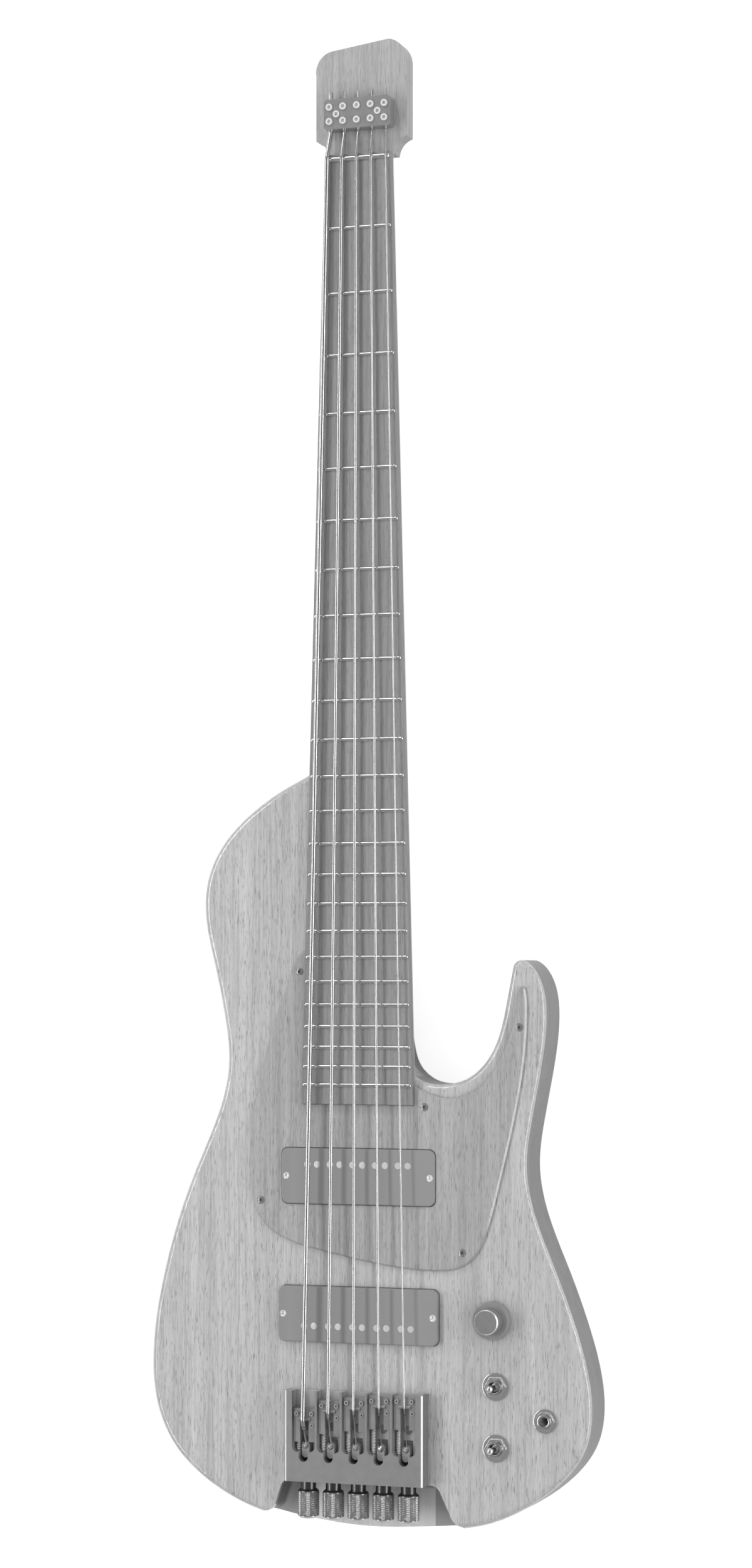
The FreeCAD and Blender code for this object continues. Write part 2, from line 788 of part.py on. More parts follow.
def cover_screw_places():
    """The middle of the lip along each side of the control cavity."""
    corners = [on_body(shares) for shares in CAVITY_SHARES]
    middle = sum(corners, Vector()) * (1 / len(corners))
    places = []
    for index, corner in enumerate(corners):
        following = corners[(index + 1) % len(corners)]
        outward = (following - corner).normalize().cross(UP)
        halfway = (corner + following) * 0.5
        if outward.dot(halfway - middle) < 0:
            outward = outward * -1
        places.append(halfway + outward * (size("cover_lip") / 2))
    return places


def make_cover_screws():
    """The control cover's screws, heads flush with the back."""
    master = turned("cover_screw", [
        ("0", "0"),
        ("cover_screw_head", "0"),
        ("cover_screw_radius", "cover_screw_head_height"),
        ("cover_screw_radius", "cover_screw_length"),
        ("0", "cover_screw_length"),
    ])
    return copies("control_cover_screws", master, cover_screw_places())


# Neck, fingerboard and headstock


def fret_radius(width, height):
    """The radius of a fret's crown."""
    return (height ** 2 + (width / 2) ** 2) / (2 * height)


def fret(along, width, height, inset):
    """One fret: a rounded crown with ball ends on the board, and a tang in its slot."""
    top = value_of(BOARD_TOP)
    radius = fret_radius(width, height)
    level = top + height - radius
    reach = half_width(along) - inset - radius
    crown = Part.makeCylinder(radius, 2 * reach, Vector(-reach, along, level), ACROSS)
    for hand in (-1, 1):
        crown = crown.fuse(Part.makeSphere(radius, Vector(hand * reach, along, level)))
    above = Part.makeBox(4 * reach, 4 * radius, 2 * height, Vector(-2 * reach, along - 2 * radius, top))
    tang_width = size("tang_width")
    tang_depth = size("tang_depth")
    tang_corner = Vector(-reach, along - tang_width / 2, top - tang_depth)
    tang = Part.makeBox(2 * reach, tang_width, tang_depth, tang_corner)
    return crown.common(above).removeSplitter().fuse(tang).removeSplitter()


def fret_place(number):
    """The distance of a fret from the end of the scale."""
    return size("scale_length") * 2 ** (-number / FRETS_PER_OCTAVE)


def make_frets():
    """The zero fret and the frets in equal temperament."""
    solids = [fret(fret_place(0), size("zero_fret_width"), size("zero_fret_height"), size("fret_inset"))]
    for number in range(1, FRET_COUNT + 1):
        solids.append(fret(fret_place(number), size("fret_width"), size("fret_height"), size("fret_inset")))
    return feature("frets", Part.makeCompound(solids))


def make_fretboard(frets):
    """The tapered board, slotted for the frets."""
    plank = extruded("fretboard_plank", neck_plan(0), FRONT, BOARD_TOP)
    return cut("fretboard", plank, frets)


def shaft_section(along, depth):
    """A D-shaped section of the neck, flat at the board."""
    across = half_width(along)
    ellipse = Part.Ellipse(Vector(0, 0, 0), across, depth)
    curve = Part.ArcOfEllipse(ellipse, math.pi, 2 * math.pi).toShape()
    flat = Part.makeLine(Vector(across, 0, 0), Vector(-across, 0, 0))
    wire = Part.Wire([curve, flat])
    wire.rotate(Vector(0, 0, 0), ACROSS, 90)
    wire.translate(Vector(0, along, size("body_thickness")))
    return wire


def head_outline():
    """The headstock's plan, from the board's end upwards."""
    start = value_of(BOARD_START)

    def spot(shares):
        return Vector(shares[0] * size("head_width"), start + shares[1] * size("head_length"), 0)

    pieces = [
        (Vector(-half_width(start), start, 0),),
        tuple(spot(shares) for shares in HEAD_SCOOP_SHARES),
        tuple(spot(shares) for shares in HEAD_BASS_CORNER_SHARES),
        tuple(spot(shares) for shares in HEAD_TREBLE_CORNER_SHARES),
        tuple(spot(shares) for shares in HEAD_TREBLE_SCOOP_SHARES),
        (Vector(half_width(start), start, 0),),
    ]
    return chain(pieces)


def make_neck(body_outline, truss_channel, clamp_bolts, neck_bolts):
    """Shaft, heel and headstock in one piece of wood."""
    nut_end = shaft_section(value_of(BOARD_START), size("neck_depth_nut"))
    heel_end = shaft_section(size("board_end"), size("neck_depth_heel"))
    shaft = feature("neck_shaft", Part.makeLoft([nut_end, heel_end], True, True))
    heel_floor = "body_thickness - heel_depth"
    heel_plan = extruded("heel_plan", neck_plan(0), heel_floor, FRONT)
    heel_body = extruded("heel_body", body_outline, heel_floor, FRONT)
    heel = doc.addObject("Part::Common", "neck_heel")
    heel.Base = heel_body
    heel.Tool = heel_plan
    head = extruded("neck_head", head_outline(), HEAD_FACE + " - head_thickness", HEAD_FACE)
    blank = fuse("neck_blank", [shaft, heel, head])
    grooved = cut("neck_grooved", blank, truss_channel)
    tapped = cut("neck_tapped", grooved, clamp_bolts)
    return cut("neck", tapped, neck_bolts)


def make_truss():
    """The truss rod's channel, and the rod with an anchor block at each end."""
    half = "truss_width / 2"
    low = "body_thickness - truss_depth"
    far = "scale_length - truss_nut_margin"
    channel = box("truss_channel", ("-" + half, "board_end", low), (half, far, FRONT))
    reach = far + " - board_end - 2 * shaft_gap"
    bar = rod("truss_bar", "truss_rod_radius", reach,
              ("0", "board_end + shaft_gap", "body_thickness - truss_depth / 2"), ALONG)
    blocks = []
    for name, start in (("truss_foot", "board_end + shaft_gap"),
                        ("truss_anchor", far + " - shaft_gap - truss_block_length")):
        blocks.append(box(name, ("-%s + shaft_gap" % half, start, low + " + shaft_gap"),
                          (half + " - shaft_gap", start + " + truss_block_length", FRONT + " - shaft_gap")))
    return channel, fuse("truss_rod", [bar] + blocks)


# Strings, clamp and bridge


def bend(before, corner, after, radius):
    """The ends and middle of an arc that rounds a corner of a path."""
    first = (before - corner).normalize()
    second = (after - corner).normalize()
    half = first.getAngle(second) / 2
    reach = radius / math.tan(half)
    centre = corner + (first + second).normalize() * (radius / math.sin(half))
    middle = centre + (corner - centre).normalize() * radius
    return corner + first * reach, middle, corner + second * reach


def over(middle, reach, before, corner, after, radius):
    """The corner of a path whose rounded bend lies at a distance from a round support."""
    first = (before - corner).normalize()
    second = (after - corner).normalize()
    half = first.getAngle(second) / 2
    outward = (first + second).normalize() * -1
    return middle + outward * (reach + radius * (1 / math.sin(half) - 1))


def tube(edges, radius):
    """A round tube along a path of lines and arcs."""
    path = Part.Wire(edges)
    start = edges[0].valueAt(edges[0].FirstParameter)
    heading = edges[0].tangentAt(edges[0].FirstParameter)
    ring = Part.Wire([Part.makeCircle(radius, start, heading)])
    return path.makePipeShell([ring], True, False)


def make_string(index):
    """A string from its stub above the clamp to the ball in its carriage."""
    name = STRING_NAMES[index]
    radius = size("string_%s_diameter" % name) / 2
    gap = size("shaft_gap")
    curl = size("string_bend")
    rank = string_rank(index)
    clamp_across = rank * size("string_pitch_clamp")
    across = value_of(at_bridge(index))
    level = value_of(CLAMP_STRING)
    ball_top = value_of(BALL_BOTTOM + " + shaft_gap + ball_height")
    stub = Vector(clamp_across, value_of(CLAMP_FRONT + " + clamp_depth + string_stub"), level)
    kink = Vector(clamp_across, value_of(CLAMP_FRONT) - curl * TUBE_MARGIN_SHARE, level)
    zero_radius = fret_radius(size("zero_fret_width"), size("zero_fret_height"))
    zero_middle = value_of(BOARD_TOP + " + zero_fret_height") - zero_radius
    zero_fret = Vector(rank * size("string_pitch_nut"), size("scale_length"), zero_middle)
    crown = Vector(across, value_of(contact(index)), value_of(CROWN_TOP + " - crown_radius"))
    ball = Vector(across, -size("ball_setback"), ball_top - size("ball_height") / 2)
    nut_reach = zero_radius + radius + gap
    saddle_reach = size("crown_radius") + radius + gap
    nut = zero_fret + UP * nut_reach
    saddle = crown + UP * saddle_reach
    for repeat in range(QUARTERS):
        nut = over(zero_fret, nut_reach, kink, nut, saddle, curl)
        saddle = over(crown, saddle_reach, nut, saddle, ball, curl)
    kink_arc = bend(stub, kink, nut, curl)
    nut_arc = bend(kink, nut, saddle, curl)
    saddle_arc = bend(nut, saddle, ball, curl)
    fall = (ball - saddle).normalize()
    winding_end = saddle_arc[2] + fall * size("string_winding_tail")
    wound = tube([
        Part.makeLine(stub, kink_arc[0]),
        Part.Arc(*kink_arc).toShape(),
        Part.makeLine(kink_arc[2], nut_arc[0]),
        Part.Arc(*nut_arc).toShape(),
        Part.makeLine(nut_arc[2], saddle_arc[0]),
        Part.Arc(*saddle_arc).toShape(),
        Part.makeLine(saddle_arc[2], winding_end),
    ], radius)
    core_start = winding_end - fall * radius
    core = Part.makeCylinder(radius * TAIL_RADIUS_SHARE, (ball - core_start).Length, core_start, fall)
    anchor = Part.makeCylinder(size("ball_radius"), size("ball_height"),
                               ball - UP * (size("ball_height") / 2), UP)
    solid = wound.fuse([core, anchor]).removeSplitter()
    print("string", name, "radius", radius, "one solid", is_one_solid(solid))
    return feature("string_" + name, solid)


def make_clamp(screw_holes, bolt_holes):
    """The clamp block, bored for the strings and their screws."""
    block = box("clamp_blank", ("-clamp_width / 2", CLAMP_FRONT, HEAD_FACE),
                ("clamp_width / 2", CLAMP_FRONT + " + clamp_depth", CLAMP_TOP))
    smooth = rounded("clamp_smooth", block, "clamp_corner", is_upright)
    bores = []
    for index, name in enumerate(STRING_NAMES):
        bores.append(rod("clamp_bore_" + name, "string_%s_diameter / 2 + shaft_gap" % name,
                         "clamp_depth + 2 * overrun",
                         ("%d * string_pitch_clamp" % string_rank(index), CLAMP_FRONT + " - overrun",
                          CLAMP_STRING), ALONG))
    bored = cut("clamp_bored", smooth, joined("clamp_bores", bores))
    tapped = cut("clamp_tapped", bored, screw_holes)
    return cut("string_clamp", tapped, bolt_holes)


def channel_wire(width, end, mouth, corner):
    """A channel's plan: open towards the headstock, with round corners at its end."""
    half = width / 2
    turn = corner * (1 - math.sqrt(0.5))
    start, finish = end + corner, end + turn
    pieces = [
        (Vector(-half, mouth, 0),),
        (Vector(-half, start, 0), Vector(-half + turn, finish, 0), Vector(-half + corner, end, 0)),
        (Vector(half - corner, end, 0), Vector(half - turn, finish, 0), Vector(half, start, 0)),
        (Vector(half, mouth, 0),),
    ]
    return chain(pieces)


def bridge_cutter(name, wire, low, high):
    """One cutting shape per string, side by side across the bridge."""
    master = extruded(name + "_master", wire, low, high)
    places = [Vector(value_of(at_bridge(index)), 0, 0) for index in range(len(STRING_NAMES))]
    return copies(name, master, places)


def make_bridge(bridge_screws, adjusters):
    """The bridge block with a channel, a slot and a tunnel for each string."""
    half = "bridge_width / 2"
    block = box("bridge_blank", ("-" + half, BRIDGE_BACK, BRIDGE_BOTTOM),
                (half, "bridge_front", BRIDGE_TOP))

    def is_rail(edge):
        bounds = edge.BoundBox
        at_top = abs(bounds.ZMin - value_of(BRIDGE_TOP)) < size("shaft_gap")
        return at_top and bounds.YLength > size("bridge_length") / 2

    bevelled = rounded("bridge_bevelled", block, "bridge_bevel", is_rail, "Part::Chamfer")
    above = BRIDGE_TOP + " + overrun"
    slot_round = size("slot_width") / 2
    channels = bridge_cutter("bridge_channels", channel_wire(
        size("channel_width"), -size("channel_end"), size("bridge_front") + size("overrun"),
        size("channel_corner")), CHANNEL_FLOOR, above)
    slots = bridge_cutter("bridge_slots", channel_wire(
        size("slot_width"), -size("slot_end"), -size("channel_end") + size("overrun"), slot_round),
        CHANNEL_FLOOR, above)
    tunnels = bridge_cutter("bridge_tunnels", channel_wire(
        size("slot_width"), -size("tunnel_end"), -size("tunnel_front"), slot_round),
        TUNNEL_FLOOR, TUNNEL_FLOOR + " + tunnel_height")
    bore = rod("tuner_bore", "tuner_screw_radius + shaft_gap",
               "-tunnel_end - (%s) + 2 * overrun" % BRIDGE_BACK,
               ("0", BRIDGE_BACK + " - overrun", TUNER), ALONG)
    bores = copies("tuner_bores", bore, [
        Vector(value_of(at_bridge(index)), 0, 0) for index in range(len(STRING_NAMES))])
    shape = bevelled
    for name, tool in (("channelled", channels), ("slotted", slots), ("tunnelled", tunnels),
                       ("bored", bores), ("screwed", bridge_screws)):
        shape = cut("bridge_" + name, shape, tool)
    return cut("bridge_base", shape, adjusters)


def saddle_across(index, offset):
    """A place across one saddle, measured from its string."""
    return "%s + (%s)" % (at_bridge(index), offset)


def make_saddle_screws(index):
    """Two height screws and one lock screw in one saddle, and the holes that they fill."""
    foot = CHANNEL_FLOOR + " + seat_gap"
    name = STRING_NAMES[index]
    tall, tall_hole = socket_screw("height_screw_" + name, "height_screw_radius",
                                   "(%s) + height_screw_rise - (%s)" % (SADDLE_TOP, foot),
                                   "height_screw_hex", "height_screw_hex_depth")
    short, short_hole = socket_screw("lock_screw_" + name, "height_screw_radius",
                                     "(%s) + lock_screw_rise - (%s)" % (SADDLE_TOP, foot),
                                     "height_screw_hex", "height_screw_hex_depth")
    screws = []
    holes = []
    for screw, hole, hand, along in (
        (tall, tall_hole, -1, setback(index)),
        (tall, tall_hole, 1, setback(index)),
        (short, short_hole, 1, setback(index) + " - lock_screw_back"),
    ):
        across = value_of(saddle_across(index, "%d * height_screw_offset" % hand))
        point = Vector(across, value_of(along), value_of(foot))
        screws.append((screw, point))
        holes.append((hole, point))
    return placed("saddle_screws_" + name, screws), placed("saddle_screw_holes_" + name, holes)


def make_saddle(index, screw_holes):
    """One saddle: a block with two legs, a crown for the string and a bore for its adjuster."""
    name = STRING_NAMES[index]
    side = "(channel_width / 2 - side_gap)"
    rear = setback(index) + " - saddle_tail"
    block = box("saddle_block_" + name, (saddle_across(index, "-" + side), rear, SADDLE_BOTTOM),
                (saddle_across(index, side), setback(index) + " + saddle_lead", SADDLE_TOP))
    crown = rod("saddle_crown_" + name, "crown_radius", "crown_width",
                (saddle_across(index, "-crown_width / 2"), contact(index),
                 CROWN_TOP + " - crown_radius"), ACROSS)
    crowned = fuse("saddle_crowned_" + name, [block, crown])
    fork = box("saddle_fork_" + name,
               (saddle_across(index, "-saddle_slot / 2"), rear + " - overrun",
                SADDLE_BOTTOM + " - overrun"),
               (saddle_across(index, "saddle_slot / 2"), contact(index) + " - contact_land",
                SADDLE_TOP + " + overrun"))
    forked = cut("saddle_forked_" + name, crowned, fork)
    bore = rod("saddle_bore_" + name, "adjuster_radius + shaft_gap", "adjuster_bore_depth + overrun",
               (saddle_across(index, "-height_screw_offset"), rear + " - overrun", ADJUSTER), ALONG)
    bored = cut("saddle_bored_" + name, forked, bore)
    return cut("saddle_" + name, bored, screw_holes)


def make_adjusters():
    """The intonation screws, heads sunk in the back of the bridge, tips in the saddles."""
    solids = []
    back = value_of(BRIDGE_BACK)
    for index in range(len(STRING_NAMES)):
        across = value_of(saddle_across(index, "-height_screw_offset"))
        tip = value_of(setback(index) + " - saddle_tail + adjuster_reach")
        foot = Vector(across, back, value_of(ADJUSTER))
        head = Part.makeCylinder(size("adjuster_head"), size("adjuster_head_height"), foot, ALONG)
        shank = Part.makeCylinder(size("adjuster_radius"), tip - back, foot, ALONG)
        solids.append(head.fuse(shank).removeSplitter())
    return feature("intonation_screws", Part.makeCompound(solids))


def half_arc(start, heading, end):
    """A circular arc that leaves a point along a heading and reaches another point."""
    chord = end - start
    along = chord.normalize()
    length = (end - start).Length
    side = heading - along * heading.dot(along)
    if side.Length < STRAIGHT_SINE:
        return Part.makeLine(start, end)
    turn = heading.getAngle(along)
    middle = (start + end) * 0.5 + side.normalize() * (length / 2 * math.tan(turn / 2))
    return Part.Arc(start, middle, end).toShape()


def biarc(start, heading, end, leaving):
    """Two arcs that join two points with the directions given there."""
    gap = end - start
    both = heading + leaving
    spread = 2 * (1 - heading.dot(leaving))
    reach = (-gap.dot(both) + math.sqrt(gap.dot(both) ** 2 + spread * gap.dot(gap))) / spread
    first = start + heading * reach
    second = end - leaving * reach
    middle = (first + second) * 0.5
    through = (second - first).normalize()
    return [half_arc(start, heading, middle), half_arc(middle, through, end)]


def spring_path(axis_x, axis_z, near, far):
    """A coil along Y between two faces, its ends straight and square to them."""
    radius = size("spring_radius")
    straight = size("spring_wire")
    lead = size("spring_lead")
    first = near + straight + lead
    last = far - straight - lead
    turns = int((last - first) / size("spring_pitch"))
    rise = (last - first) / (2 * math.pi * turns)
    sweep = math.pi / QUARTERS

    def spot(angle, along):
        return Vector(axis_x + radius * math.cos(angle), along, axis_z + radius * math.sin(angle))

    def course(angle):
        return Vector(-radius * math.sin(angle), rise, radius * math.cos(angle)).normalize()

    steps = [math.pi / 2 * step for step in range(QUARTERS * turns + 1)]
    begin = spot(-sweep, near + straight)
    close = spot(steps[-1] + sweep, far - straight)
    edges = [Part.makeLine(begin - ALONG * straight, begin)]
    edges += biarc(begin, ALONG, spot(0, first), course(0))
    for one, two in zip(steps, steps[1:]):
        edges += biarc(spot(one, first + rise * one), course(one),
                       spot(two, first + rise * two), course(two))
    edges += biarc(spot(steps[-1], last), course(steps[-1]), close, ALONG)
    edges.append(Part.makeLine(close, close + ALONG * straight))
    return edges, turns


def least_gap(edges, wire):
    """The least distance between two turns of a coil, less the wire."""
    points = []
    travelled = [0.0]
    for edge in edges:
        for point in edge.discretize(QUARTERS):
            if points:
                travelled.append(travelled[-1] + (point - points[-1]).Length)
            points.append(point)
    apart = math.pi * size("spring_radius")
    least = apart
    for one, point in enumerate(points):
        for two in range(one + 1, len(points)):
            if travelled[two] - travelled[one] > apart:
                least = min(least, (points[two] - point).Length)
    return least - wire


def make_springs():
    """A coil spring round each intonation screw, from its saddle to the channel's end."""
    solids = []
    wire = size("spring_wire")
    gap = size("shaft_gap")
    for index, name in enumerate(STRING_NAMES):
        across = value_of(saddle_across(index, "-height_screw_offset"))
        near = -size("channel_end") + gap
        far = value_of(setback(index) + " - saddle_tail") - gap
        edges, turns = spring_path(across, value_of(ADJUSTER), near, far)
        solids.append(tube(edges, wire / 2))
        print("spring", name, "turns", turns, "least gap", round(least_gap(edges, wire), 3))
    return feature("intonation_springs", Part.makeCompound(solids))


def make_carriage(index):
    """The block that holds a string's ball and is drawn along by the tuner's screw."""
    name = STRING_NAMES[index]
    half = size("carriage_width") / 2
    turn = half * math.sqrt(0.5)
    across = value_of(at_bridge(index))
    front = -size("ball_setback")
    rear = front - size("carriage_length") + 2 * half
    plan = chain([
        (Vector(across - half, front, 0), Vector(across, front + half, 0), Vector(across + half, front, 0)),
        (Vector(across + half, rear, 0), Vector(across, rear - half, 0), Vector(across - half, rear, 0)),
    ])
    block = extruded("carriage_block_" + name, plan, CARRIAGE_BOTTOM, CARRIAGE_TOP)
    socket = rod("carriage_socket_" + name, "carriage_width / 2 - carriage_wall", "ball_height + overrun",
                 (at_bridge(index), "-ball_setback", BALL_BOTTOM))
    seated = cut("carriage_seated_" + name, block, socket)
    mouth = box("carriage_mouth_" + name,
                (saddle_across(index, "-carriage_slot / 2"), "-ball_setback", BALL_BOTTOM),
                (saddle_across(index, "carriage_slot / 2"), "-ball_setback + carriage_width",
                 CARRIAGE_TOP + " + overrun"))
    open_block = cut("carriage_open_" + name, seated, mouth)
    rear_end = "-ball_setback - carriage_length - overrun + carriage_width / 2"
    thread = rod("carriage_thread_" + name, "tuner_screw_radius + shaft_gap",
                 "carriage_length + 2 * overrun", (at_bridge(index), rear_end, TUNER), ALONG)
    return cut("carriage_" + name, open_block, thread)


def make_tuner(index):
    """A tuner: the knob, its collar and the screw that draws the carriage."""
    name = "tuner_knob_" + STRING_NAMES[index]
    collar = "tuner_knob_length"
    shoulder = collar + " + tuner_collar_length"
    tip = shoulder + " + seat_gap + (-tuner_screw_tip - (%s))" % BRIDGE_BACK
    knob = turned(name, [
        ("0", "0"),
        ("tuner_knob_radius - tuner_knob_bevel", "0"),
        ("tuner_knob_radius", "tuner_knob_bevel"),
        ("tuner_knob_radius", "tuner_knob_length - tuner_knob_bevel"),
        ("tuner_knob_radius - tuner_knob_bevel", "tuner_knob_length"),
        ("tuner_collar_radius", collar),
        ("tuner_collar_radius", shoulder),
        ("tuner_screw_radius", shoulder),
        ("tuner_screw_radius", tip),
        ("0", tip),
    ])
    rear = BRIDGE_BACK + " - seat_gap - tuner_collar_length - tuner_knob_length"
    return place(knob, (at_bridge(index), rear, TUNER), FreeCAD.Rotation(UP, ALONG))


# Pickguard and pickups


def make_pickup(name, poles, screws):
    """A pickup in a closed cover, bored for its poles and screws."""
    long_side, along, pitch, side = PICKUPS[name]
    block = box(name + "_blank",
                ("-%s / 2" % long_side, "%s - pickup_width / 2" % along, PICKUP_BOTTOM),
                ("%s / 2" % long_side, "%s + pickup_width / 2" % along, PICKUP_TOP))
    smooth = rounded(name + "_smooth", block, "pickup_corner", is_upright)
    eased = rounded(name + "_eased", smooth, "pickup_edge", lies_at(PICKUP_TOP))
    poled = cut(name + "_poled", eased, poles)
    return cut(name, poled, screws)


def pickup_well(name, gap, low, high):
    """The space that a pickup needs in the wood or in the pickguard."""
    long_side, along, pitch, side = PICKUPS[name]
    well = box(name + "_well_" + gap,
               ("-%s / 2 - %s" % (long_side, gap), "%s - pickup_width / 2 - %s" % (along, gap), low),
               ("%s / 2 + %s" % (long_side, gap), "%s + pickup_width / 2 + %s" % (along, gap), high))
    return rounded(name + "_round_well_" + gap, well, "pickup_corner", is_upright)


def make_pickguard(screws):
    """The guard: bevelled round its edge, open for the neck and the neck pickup."""
    sheet_blank = extruded("guard_blank", smooth_wire([on_body(shares) for shares in GUARD_SHARES]),
                           FRONT, GUARD_TOP)
    bevelled = rounded("guard_bevelled", sheet_blank, "guard_bevel", lies_at(GUARD_TOP), "Part::Chamfer")
    neck_space = extruded("guard_neck_space", neck_plan(size("guard_gap")), FRONT + " - overrun",
                          GUARD_TOP + " + overrun")
    necked = cut("guard_necked", bevelled, neck_space)
    opened = cut("guard_opened", necked,
                 pickup_well("neck_pickup", "guard_gap", FRONT + " - overrun", GUARD_TOP + " + overrun"))
    return cut("pickguard", opened, screws)


# Controls


def at_plan(shares):
    """Expressions for a place on the body's plan."""
    return "%s * body_width" % shares[0], "%s * body_length" % shares[1]


def pierced(name, solid, radius, base, height):
    """A solid with an upright hole through it."""
    hole = rod(name + "_hole", radius, height, base)
    return cut(name, solid, hole)


def make_washers_and_nuts():
    """A washer and a hexagon nut on each control's bushing, on the front of the body."""
    washers = []
    nuts = []
    fittings = [("pot", POT_SHARES, "pot_washer_radius", "pot_nut_radius", "pot_bushing_radius"),
                ("jack", JACK_SHARES, "jack_washer_radius", "jack_nut_radius", "jack_bushing_radius")]
    for number, shares in enumerate(TOGGLE_SHARES, start=1):
        fittings.append(("toggle_%d" % number, shares, "toggle_washer_radius", "toggle_nut_radius",
                         "toggle_bushing_radius"))
    for name, shares, washer_radius, nut_radius, bushing in fittings:
        across, along = at_plan(shares)
        below = (across, along, FRONT + " - overrun")
        through = "2 * overrun + washer_thickness + nut_thickness"
        disc = rod(name + "_disc", washer_radius, "washer_thickness", (across, along, FRONT))
        washers.append(pierced(name + "_washer", disc, bushing + " + shaft_gap", below, through))
        block = hexagon(name + "_block", nut_radius, "nut_thickness", (across, along, WASHER_TOP))
        nuts.append(pierced(name + "_nut", block, bushing + " + shaft_gap", below, through))
    return joined("panel_washers", washers), joined("panel_nuts", nuts)


def make_pot():
    """The concentric control under the front, with a bushing for its two shafts."""
    across, along = at_plan(POT_SHARES)
    case = rod("pot_case", "pot_radius", "pot_height", (across, along, CAVITY_TOP + " - pot_height"))
    bushing = rod("pot_bushing", "pot_bushing_radius", "cavity_roof + pot_bushing_rise",
                  (across, along, CAVITY_TOP))
    blank = fuse("pot_blank", [case, bushing])
    return pierced("concentric_pot", blank, "outer_shaft_radius + shaft_gap",
                   (across, along, CAVITY_TOP + " - shaft_depth - seat_gap"),
                   "shaft_depth + seat_gap + cavity_roof + pot_bushing_rise + overrun")


def make_ring():
    """The lower ring of the stacked control, with its hollow shaft."""
    sole = "cavity_roof + shaft_depth + ring_rise"
    crest = sole + " + ring_height"
    hollow = sole + " + ring_hollow_depth"
    bore = "inner_shaft_radius + shaft_gap"
    ring = turned("tone_ring", [
        (bore, "0"),
        ("outer_shaft_radius", "0"),
        ("outer_shaft_radius", hollow),
        ("ring_hollow_radius", hollow),
        ("ring_hollow_radius", sole),
        ("ring_radius", sole),
        ("ring_radius", crest + " - ring_height / 2"),
        ("ring_top_radius", crest),
        (bore, crest),
    ])
    return place(ring, at_plan(POT_SHARES) + (CAVITY_TOP + " - shaft_depth",))


def make_knob():
    """The upper knob of the stacked control, with its shaft."""
    sole = "cavity_roof + shaft_depth + ring_rise + ring_height + seat_gap"
    crest = sole + " + knob_height"
    knob = turned("volume_knob", [
        ("0", "0"),
        ("inner_shaft_radius", "0"),
        ("inner_shaft_radius", sole),
        ("knob_radius", sole),
        ("knob_top_radius", crest + " - knob_bevel"),
        ("knob_top_radius - knob_bevel", crest),
        ("0", crest),
    ])
    return place(knob, at_plan(POT_SHARES) + (CAVITY_TOP + " - shaft_depth",))


def make_toggle_housings():
    """The two switch cases with their bushings."""
    cases = []
    for number, shares in enumerate(TOGGLE_SHARES, start=1):
        across, along = at_plan(shares)
        case = box("toggle_case_%d" % number,
                   (across + " - toggle_width / 2", along + " - toggle_length / 2",
                    CAVITY_TOP + " - toggle_depth"),
                   (across + " + toggle_width / 2", along + " + toggle_length / 2", CAVITY_TOP))
        bushing = rod("toggle_bushing_%d" % number, "toggle_bushing_radius",
                      "cavity_roof + toggle_bushing_rise", (across, along, CAVITY_TOP))
        blank = fuse("toggle_blank_%d" % number, [case, bushing])
        cases.append(pierced("toggle_housing_%d" % number, blank, "toggle_pivot_radius + seat_gap",
                             (across, along, TOGGLE_PIVOT + " - toggle_bore_depth"),
                             "toggle_bore_depth + toggle_bushing_rise + overrun"))
    return joined("toggle_housings", cases)


def make_lever(number):
    """A switch lever on its pivot ball and pin, thicker towards its round tip."""
    across, along = at_plan(TOGGLE_SHARES[number - 1])
    ball = doc.addObject("Part::Sphere", "lever_ball_%d" % number)
    bind(ball, "Radius", "toggle_pivot_radius")
    place(ball, (across, along, TOGGLE_PIVOT))
    stem = doc.addObject("Part::Cone", "lever_stem_%d" % number)
    bind(stem, "Radius1", "lever_root_radius")
    bind(stem, "Radius2", "lever_tip_radius")
    bind(stem, "Height", "lever_rise")
    place(stem, (across, along, TOGGLE_PIVOT))
    tip = doc.addObject("Part::Sphere", "lever_tip_%d" % number)
    bind(tip, "Radius", "lever_tip_radius")
    place(tip, (across, along, TOGGLE_PIVOT + " + lever_rise"))
    reach = "toggle_pivot_radius + seat_gap / 3"
    pin = rod("lever_pin_%d" % number, "lever_pin_radius", "2 * (%s)" % reach,
              ("%s - (%s)" % (across, reach), along, TOGGLE_PIVOT), ACROSS)
    return fuse("toggle_lever_%d" % number, [ball, stem, tip, pin])


def make_jack():
    """The jack socket under the front, bored for its plug."""
    across, along = at_plan(JACK_SHARES)
    case = rod("jack_case", "jack_radius", "jack_depth", (across, along, CAVITY_TOP + " - jack_depth"))
    bushing = rod("jack_bushing", "jack_bushing_radius", "cavity_roof + jack_bushing_rise",
                  (across, along, CAVITY_TOP))
    blank = fuse("jack_blank", [case, bushing])
    return pierced("jack_socket", blank, "jack_bore_radius",
                   (across, along, CAVITY_TOP + " - jack_depth - overrun"),
                   "jack_depth + cavity_roof + jack_bushing_rise + 2 * overrun")


def make_cover(screws):
    """The control cover, flush with the back."""
    wire = cavity_wire().makeOffset2D(size("cover_lip") - size("seat_gap"))
    plate = extruded("cover_plate", wire, "0", "cover_thickness")
    return cut("control_cover", plate, screws)


def cavity_wire():
    """The control cavity's plan."""
    return soft_polygon([on_body(shares) for shares in CAVITY_SHARES], size("cavity_corner"))


def straight_lead(start, end, start_gap, end_gap):
    """A straight wire between two points, short of each by a gap, and the bore that it runs in."""
    heading = (end - start).normalize()
    first = start + heading * start_gap
    length = (end - heading * end_gap - first).Length
    wire = Part.makeCylinder(size("wire_radius"), length, first, heading)
    bore = Part.makeCylinder(size("wire_radius") + size("shaft_gap"), length + size("overrun"),
                             first - heading * size("overrun"), heading)
    return wire, bore


